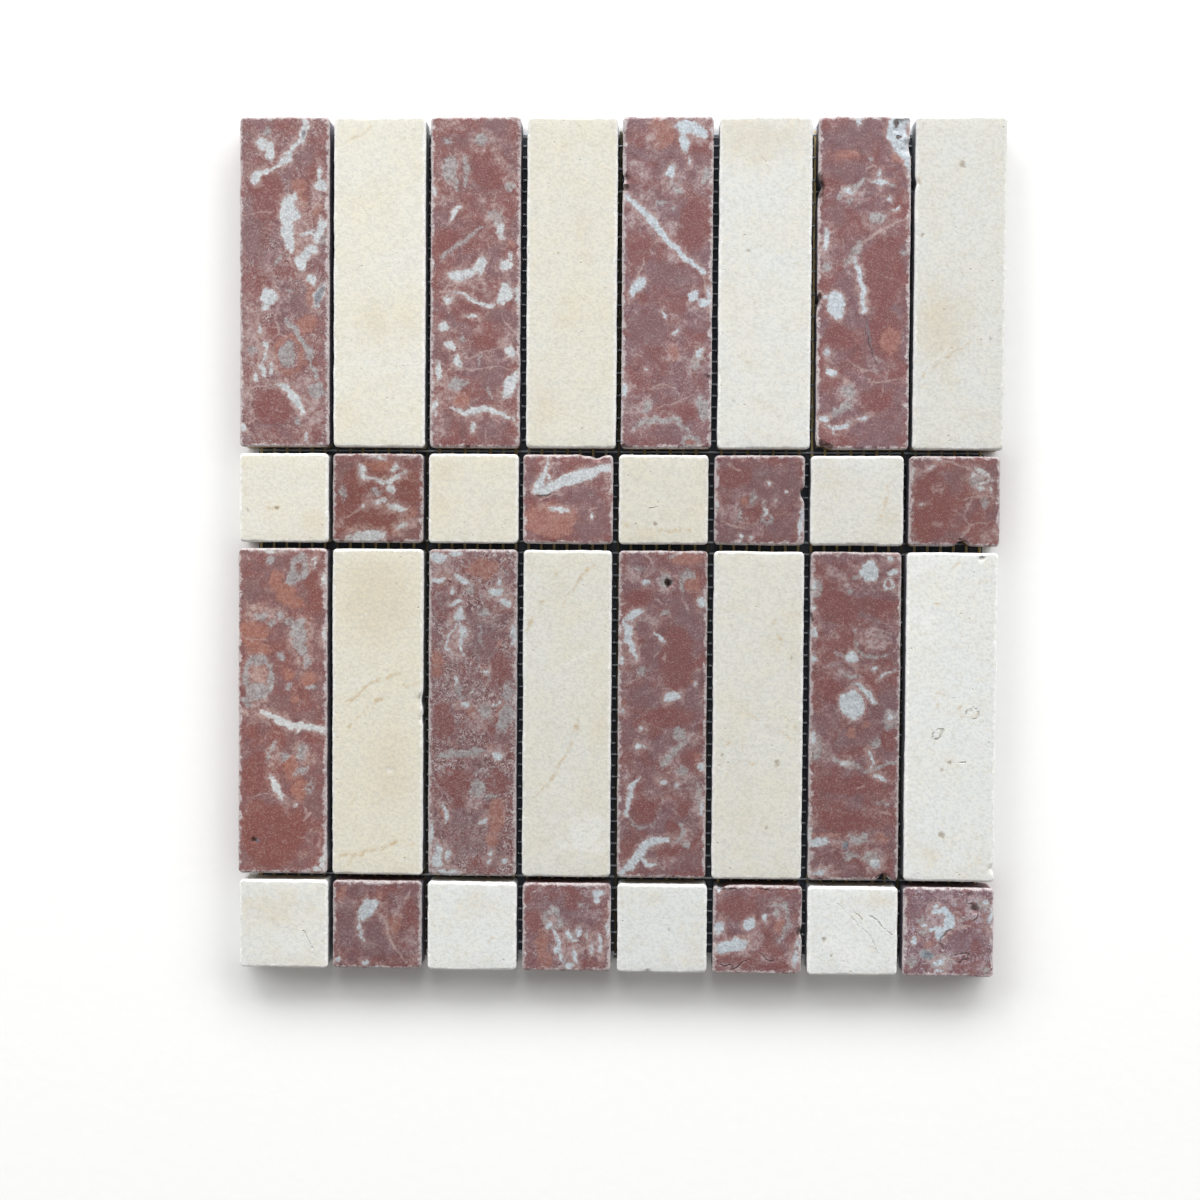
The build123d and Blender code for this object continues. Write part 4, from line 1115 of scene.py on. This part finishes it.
def red_flakes(s, ground):
    """Pale flakes on a deeper ground, in the busiest stones."""
    busy = s.field("busy")
    busiest = s.times(busy, busy)
    flake = s.ridge(s.apart((92.0, 13.0, 58.0), 2.4, 5.0, 0.62, 1.3), s.times(busiest, 0.045))
    spread = s.apart((31.0, 5.0, 77.0), 6.0, 3.0, 0.55, 0.6)
    zone = s.step(s.math("MULTIPLY_ADD", busy, 0.1, spread), 0.5, 0.64)
    ground = s.tint(ground, s.times(zone, busiest), 0.6, stone(120, 84, 83))
    pale = s.mix(s.step(s.mottle, 0.4, 0.6), stone(196, 156, 147), stone(230, 221, 219))
    return s.tint(ground, s.times(flake, zone), 0.95, pale)


def red_patches(s, ground):
    """Patches of plum, brick, salmon and pink, and the bruises and flecks that no marking places."""
    busy = s.field("busy")
    blotch = s.step(s.mottle, 0.36, 0.62)
    ground = s.mark(ground, "plum", -1.6, 1.8, 0.6, s.soft_fray, stone(135, 103, 104))
    ground = s.mark(ground, "brick", -0.7, 0.7, 0.75, s.times(s.fray, 0.7), stone(139, 84, 79))
    salmon = s.mix(blotch, stone(164, 108, 93), stone(184, 132, 117))
    ground = s.mark(ground, "salmon", -0.7, 0.8, 0.78, s.times(s.fray, 0.8), salmon)
    # fine bruises left by tumbling, thicker where the stone is busy
    bruise = s.step(s.plus(s.tooth, s.swing(s.patch, 0.2)), 0.55, 0.74)
    ground = s.tint(ground, bruise, s.scale(busy, 0.0, 1.0, 0.15, 0.45), stone(184, 156, 152))
    pink = s.mix(blotch, stone(156, 118, 112), stone(203, 180, 175))
    ground = s.mark(ground, "pink", -1.7, 2.0, 0.75, s.soft_fray, pink)
    # pale flecks, more of them in the busier stones
    scatter = s.apart((20.0, 71.0, 64.0), 3.2, 5.0, 0.66, 0.9)
    fleck = s.step(s.math("SUBTRACT", scatter, s.scale(busy, 0.0, 1.0, 0.72, 0.56)), 0.0, 0.12)
    return s.tint(ground, fleck, 0.6, stone(182, 170, 168))


def red_cast(s, ground):
    """Each stone's cast, from warm to cool: partly its own, partly painted light that cools towards the
    lower right.
    """
    ends = {0: s.field("cool"), 4: (1.0, 1.0, 1.0), 5: (0.95, 1.03, 1.14)}
    cast = s.node("ShaderNodeMix", ends, data_type="VECTOR", clamp_factor=False).outputs[1]
    return s.node("ShaderNodeVectorMath", {0: ground, 1: cast}, operation="MULTIPLY").outputs[0]


def red_calcite(s, ground, crystal):
    """Hair-thin veins, grey calcite, and white calcite inside a pink border."""
    ground = s.mark(ground, "hair", -0.35, 0.3, 0.65, s.times(s.fray, 0.22), stone(198, 174, 168))
    grey = s.mix(crystal, stone(146, 136, 135), stone(188, 188, 189))
    ground = s.mark(ground, "grey", -0.6, 0.7, 0.85, s.times(s.fray, 0.7), grey)
    ground = s.mark(ground, "white", -1.8, 0.2, 0.5, s.soft_fray, stone(188, 160, 154))
    warm_white = s.mix(crystal, stone(192, 195, 195), stone(230, 233, 233))
    cool_white = s.mix(crystal, stone(182, 195, 205), stone(216, 230, 240))
    # the white takes the stone's cast, which is partly painted light
    white = s.mix(s.field("cool"), warm_white, cool_white)
    return s.mark(ground, "white", -0.4, 0.55, 0.95, s.times(s.fray, 0.5), white)


def red_wear(s, ground):
    """Edges bruised pale in a broken fringe, and fine pale points all over."""
    ragged = s.apart((1.0, 90.0, 2.0), 2.6, 5.0, 0.65, 0.4)
    edge = s.plus(s.field("edge"), s.math("MULTIPLY_ADD", ragged, 6.0, -3.1))
    worn = s.times(s.step(edge, 1.3, 0.1), s.step(s.tooth, 0.2, 0.5))
    ground = s.tint(ground, worn, 0.8, stone(226, 218, 218))
    points = s.apart((12.0, 2.0, 83.0), 0.5, 1.0)
    return s.tint(ground, s.step(points, 0.56, 0.7), 0.36, stone(196, 174, 171)), worn


def red_marble():
    noises = ((4.2, 4.0, 0.62, 0.7), (1.7, 4.0, 0.66, 0.5), (0.8, 3.0, 0.7))
    s = StoneShader("red_marble", *noises, fray=(1.7, 0.85))
    s.soft_fray = s.math("MULTIPLY_ADD", s.patch, 5.0, s.math("SUBTRACT", s.fray, 2.5))
    # crystals show as a mottle in the calcite
    crystal = s.step(s.plus(s.times(s.mottle, 0.7), s.times(s.tooth, 0.3)), 0.32, 0.66)
    ground = red_patches(s, red_flakes(s, red_ground(s)))
    ground = red_calcite(s, red_cast(s, ground), crystal)
    ground, worn = red_wear(s, ground)
    # slate-grey seeds, cracks, and pits painted dark brown
    slate = s.mix(crystal, stone(92, 100, 112), stone(150, 160, 170))
    ground = s.mark(ground, "slate", -0.4, 0.4, 0.8, s.times(s.fray, 0.3), slate)
    crack = s.cover("crack", -0.3, 0.25, s.times(s.fray, 0.15))
    ground = s.tint(ground, crack, 0.6, stone(100, 66, 61))
    pit = s.cover("pit", -0.25, 0.25, s.times(s.fray, 0.3))
    ground = s.tint(ground, pit, 0.85, stone(84, 58, 50))
    ground = s.lightness_and_joint_shade(ground, 0.82, 1.16)
    relief = s.plus(s.times(s.tooth, 0.11), s.times(s.math("MAXIMUM", pit, crack), -0.35))
    relief = s.plus(relief, s.times(s.times(worn, s.tooth), 0.12))
    relief = s.plus(relief, s.times(s.mottle, 0.05))
    return s.finish(ground, s.scale(s.tooth, 0.2, 0.8, 0.5, 0.68), s.bump(relief))


def cream_ground(s):
    """Cool white to warm cream, clouded over a centimetre or two, with stains, pale areas and veins."""
    cloud = s.noise(s.grain, 17.0, 4.0, 0.55, 0.4)
    # the warmth is partly painted light, the light's cast cooling towards the lower right
    lean = s.plus(s.field("warm"), s.swing(cloud, 0.45))
    ground = s.mix(s.step(lean, 0.0, 1.05), stone(228, 231, 230), stone(230, 225, 207))
    ground = s.tint(ground, s.step(s.patch, 0.5, 0.72), 0.4, stone(234, 233, 225))
    ground = s.tint(ground, s.step(s.patch, 0.48, 0.28), 0.35, stone(222, 214, 196))
    soft_fray = s.swing(s.patch, 13.0)
    ground = s.mark(ground, "stain", -4.5, 7.5, 0.45, soft_fray, stone(216, 203, 176))
    ground = s.mark(ground, "pale", -3.0, 5.0, 0.6, soft_fray, stone(238, 239, 237))
    broken = s.step(s.apart((8.0, 33.0, 51.0), 3.0, 3.0, 0.6), 0.36, 0.62)
    ochre = s.times(s.cover("ochre", -0.7, 0.7, s.fray), 0.75)
    ground = s.tint(ground, ochre, broken, stone(198, 168, 122))
    return s.mark(ground, "scratch", -0.6, 0.8, 0.7, s.fray, stone(240, 239, 235))


def cream_dots(s, ground):
    """Fine dots, tan and white."""
    ground = s.tint(ground, s.step(s.tooth, 0.54, 0.72), 0.45, stone(202, 188, 162))
    ground = s.tint(ground, s.step(s.tooth, 0.46, 0.28), 0.6, stone(242, 241, 236))
    return s.tint(ground, s.step(s.mottle, 0.55, 0.74), 0.4, stone(208, 196, 172))


def cream_marble():
    noises = ((6.0, 4.0, 0.62, 0.6), (1.9, 3.0, 0.65, 0.3), (1.15, 3.0, 0.75))
    s = StoneShader("cream_marble", *noises, fray=(1.1, 0.6))
    ground = cream_dots(s, cream_ground(s))
    pinholes = s.step(s.cells(s.shifted(s.grain, (60.0, 1.0, 5.0)), 3.4), 0.13, 0.05)
    pinholes = s.times(pinholes, s.step(s.patch, 0.5, 0.62))
    ground = s.tint(ground, pinholes, 0.45, stone(160, 142, 116))
    speck = s.times(s.cover("speck", -0.5, 0.5, s.fray), 0.7)
    ground = s.mix(speck, ground, stone(150, 132, 108))
    crack = s.cover("crack", -0.3, 0.25, s.times(s.fray, 0.2))
    ground = s.tint(ground, crack, 0.55, stone(140, 132, 120))
    # worn edges, bruised almost white
    ragged = s.apart((1.0, 90.0, 2.0), 1.8, 4.0, 0.68)
    worn = s.step(s.plus(s.field("edge"), s.swing(ragged, 1.5)), 1.3, 0.2)
    ground = s.tint(ground, worn, 0.85, stone(251, 251, 249))
    ground = s.lightness_and_joint_shade(ground, 0.83, 1.17)
    relief = s.plus(s.times(s.tooth, 0.1), s.times(crack, -0.25))
    relief = s.plus(relief, s.times(s.plus(speck, pinholes), -0.1))
    relief = s.plus(relief, s.times(s.mottle, 0.02))
    return s.finish(ground, s.scale(s.tooth, 0.2, 0.8, 0.52, 0.7), s.bump(relief))


def glass_net():
    s = Shader("glass_net")
    along = s.place("grain")
    # filaments run along each yarn: the grain's first part is the way along, the second the way across
    stretch = {0: along, 1: (0.25, 6.0, 6.0)}
    stretched = s.node("ShaderNodeVectorMath", stretch, operation="MULTIPLY").outputs[0]
    filaments = s.noise(stretched, 1.0, 2.0, 0.6)
    patchy = s.step(s.noise(along, 6.0, 2.0), 0.35, 0.7)
    # painted light on white glass: the warp tan, lit warm between the rows, the weft grey-blue, lit cool
    # between the columns
    grey = s.mix(patchy, srgb(206, 218, 228), srgb(232, 238, 242))
    tan = s.mix(patchy, srgb(230, 204, 140), srgb(240, 220, 166))
    colour = s.mix(s.field("weft"), tan, grey)
    colour = s.mix(s.times(s.step(filaments, 0.45, 0.75), 0.4), colour, srgb(150, 150, 146))
    # painted shade on the warp yarns that run along the joints
    colour = s.mix(s.times(s.field("dark"), 0.85), colour, srgb(46, 47, 46))
    return s.finish(colour, s.scale(filaments, 0.2, 0.8, 0.35, 0.6), s.bump(s.times(filaments, 0.06)))


def paper(name, grain_size, dark, light):
    s = Shader(name)
    where = s.node("ShaderNodeTexCoord", {}).outputs["Object"]
    tone = s.noise(where, grain_size, 3.0, 0.6)
    return s.finish(s.mix(tone, dark, light), 0.9, s.bump(s.times(tone, 0.05)))


# The net

def tube_quads(first, turned):
    """Quads between one ring of a yarn's points and the ring before it."""
    ring_at = first + np.arange(YARN_SIDES)
    next_at = np.roll(ring_at, -1)
    quads = np.stack([ring_at - YARN_SIDES, next_at - YARN_SIDES, next_at, ring_at], -1)
    return (quads[:, ::-1] if turned else quads).tolist()


def tube_caps(start, end, turned):
    """The flat ends of a yarn."""
    caps = [list(range(start, start + YARN_SIDES))[::-1], list(range(end, end + YARN_SIDES))]
    return [cap[::-1] for cap in caps] if turned else caps


def yarn_tubes(name, runs, places, half_width, over_first, along_y, dark):
    """Flat yarns that pass over and under the yarns they cross, as one mesh of closed tubes."""
    turn = np.arange(YARN_SIDES) * 2 * pi / YARN_SIDES
    halfway = (runs[:-1] + runs[1:]) / 2
    along = np.unique(np.concatenate([[runs[0] - YARN_TAIL], runs, halfway, [runs[-1] + YARN_TAIL]]))
    weave = np.cos(pi * (along - runs[0]) / (runs[1] - runs[0]))
    base = (net_bottom() + net_top()) / 2
    points, faces, grain = [], [], []
    for number, place in enumerate(places):
        side = 1 if (number + over_first) % 2 else -1
        rise = base + WEAVE_RISE * side * weave
        across = place + half_width * np.cos(turn)
        start = len(points) * YARN_SIDES
        for step, (at, level) in enumerate(zip(along, rise)):
            here = np.full(YARN_SIDES, at)
            height = level + YARN_DEPTH / 2 * np.sin(turn)
            if step:
                faces += tube_quads(len(points) * YARN_SIDES, along_y)
            points.append(np.stack([across, here, height] if along_y else [here, across, height], -1))
            grain.append(np.stack([here, across - place, height + YARN_GRAIN_STEP * number], -1))
        faces += tube_caps(start, (len(points) - 1) * YARN_SIDES, along_y)
    mesh = bpy.data.meshes.new(name)
    mesh.from_pydata((np.concatenate(points) * MM).tolist(), [], faces)
    mesh.polygons.foreach_set("use_smooth", np.ones(len(mesh.polygons), dtype=bool))
    put_vector(mesh, "grain", np.concatenate(grain))
    put_field(mesh, "weft", np.full(len(mesh.vertices), 0.0 if along_y else 1.0))
    # the dark field: painted shade on a yarn that runs along a joint
    put_field(mesh, "dark", np.repeat(dark, len(mesh.vertices) // len(places)))
    return in_scene(mesh)


def net_bottom():
    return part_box("net_weft_yarns")[0][2] / MM


def net_top():
    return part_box("net_warp_yarns")[1][2] / MM


def yarn_places(node, axis, width, pitch):
    """Middles of the yarns that the node's box holds, evenly spaced."""
    low, high = (np.array(corner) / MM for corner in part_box(node))
    count = round((high[axis] - low[axis] - width) / pitch) + 1
    return np.linspace(low[axis] + width / 2, high[axis] - width / 2, count)


def column_middle(node):
    low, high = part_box(node)
    return (low[0] + high[0]) / 2 / MM


def build_net():
    warp = yarn_places("net_warp_yarns", 0, WARP_WIDTH, WARP_PITCH)
    weft = yarn_places("net_weft_yarns", 1, WEFT_WIDTH, WEFT_PITCH)
    # a warp yarn that runs along a joint gets painted shade: the photographed joints show no pale line along
    # them
    left, right = column_middle("red_strip_r1_c1"), column_middle("cream_strip_r1_c2")
    pitch = right - left
    from_joint = (warp - (left + right) / 2 + pitch / 2) % pitch - pitch / 2
    shaded_in_joint = (abs(from_joint) < JOINT_REACH) * 1.0
    up = yarn_tubes("net_warp", weft, warp, WARP_WIDTH / 2, 0, True, shaded_in_joint)
    across = yarn_tubes("net_weft", warp, weft, WEFT_WIDTH / 2, 1, False, np.zeros(len(weft)))
    material = glass_net()
    for piece, node in ((up, "net_warp_yarns"), (across, "net_weft_yarns")):
        piece.data.materials.append(material)
        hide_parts(node)
        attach(piece, "root")


def build_stones():
    materials = {"red": red_marble(), "cream": cream_marble()}
    for node in sorted(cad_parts):
        colour, _, rest = node.partition("_")
        if colour not in materials:
            continue
        place = rest[rest.rindex("_r") + 1:]
        spacing = RED_SPACING if colour == "red" else CREAM_SPACING
        if "square" in node:
            spacing = SQUARE_SPACING
        piece = build_stone(node, colour, place, spacing)
        piece.data.materials.append(materials[colour])
        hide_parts(node)
        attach(piece, "root")


# The stage, in metres

def flat_sheet(name, x0, y0, x1, y1, level, material):
    mesh = bpy.data.meshes.new(name)
    corners = [(x0, y0, level), (x1, y0, level), (x1, y1, level), (x0, y1, level)]
    mesh.from_pydata(corners, [], [(0, 1, 2, 3)])
    mesh.materials.append(material)
    return in_scene(mesh)


def build_floor():
    material = paper("floor_paper", 0.004, srgb(240, 240, 239), srgb(243, 243, 243))
    floor = flat_sheet("floor", -FLOOR_HALF, -FLOOR_HALF, FLOOR_HALF, FLOOR_HALF, 0, material)


def build_shade_card():
    """A dark card of painted shade under the net, short of the sheet's edges: the photographed net is pale
    on dark.
    """
    material = paper("shade_card_paper", 0.003, srgb(80, 86, 94), srgb(94, 100, 108))
    (x0, y0, _), (x1, y1, _) = cad_bounds
    margin, level = CARD_MARGIN * MM, CARD_LEVEL * MM
    card = flat_sheet("card", x0 + margin, y0 + margin, x1 - margin, y1 - margin, level, material)


def soft_light(name, power, size, distance, height_angle, side, colour=(1, 1, 1)):
    """A soft light, so wide and so tall, aimed at the sheet's middle."""
    lamp = bpy.data.lights.new(name, "AREA")
    lamp.shape = "ELLIPSE"
    lamp.size, lamp.size_y = size
    lamp.energy = power
    lamp.color = colour
    up, around = radians(height_angle), radians(side)
    level = distance * cos(up)
    holder = bpy.data.objects.new(name, lamp)
    holder.location = (level * cos(around), level * sin(around), distance * sin(up))
    holder.rotation_euler = (pi / 2 - up, 0, around + pi / 2)
    holder.visible_camera = False
    bpy.context.scene.collection.objects.link(holder)


def build_light():
    """Three wide keys in an arc beyond the top of the sheet, an even white dome, and a weak warm bounce."""
    world = bpy.data.worlds.new("studio")
    world.use_nodes = True
    background = world.node_tree.nodes["Background"]
    background.inputs["Color"].default_value = (1, 1, 1, 1)
    background.inputs["Strength"].default_value = DOME_STRENGTH
    bpy.context.scene.world = world
    for name, power, side in KEYS:
        soft_light(name, power, KEY_SIZE, KEY_DISTANCE, KEY_HEIGHT, side)
    bounce_stand = (BOUNCE_SIZE, BOUNCE_DISTANCE, BOUNCE_HEIGHT, BOUNCE_SIDE)
    soft_light("bounce", BOUNCE_POWER, *bounce_stand, BOUNCE_COLOUR)


def build_camera():
    camera = bpy.data.cameras.new("camera")
    camera.sensor_width = CAMERA_SENSOR
    camera.lens = CAMERA_LENS
    camera.clip_start = CAMERA_NEAR
    view = bpy.data.objects.new("camera", camera)
    view.location = [length * MM for length in CAMERA_PLACE]
    view.rotation_euler = [radians(angle) for angle in CAMERA_TURN]
    bpy.context.scene.collection.objects.link(view)
    bpy.context.scene.camera = view
    bpy.context.scene.view_settings.view_transform = "Standard"


build_stones()
build_net()
build_floor()
build_shade_card()
build_light()
build_camera()
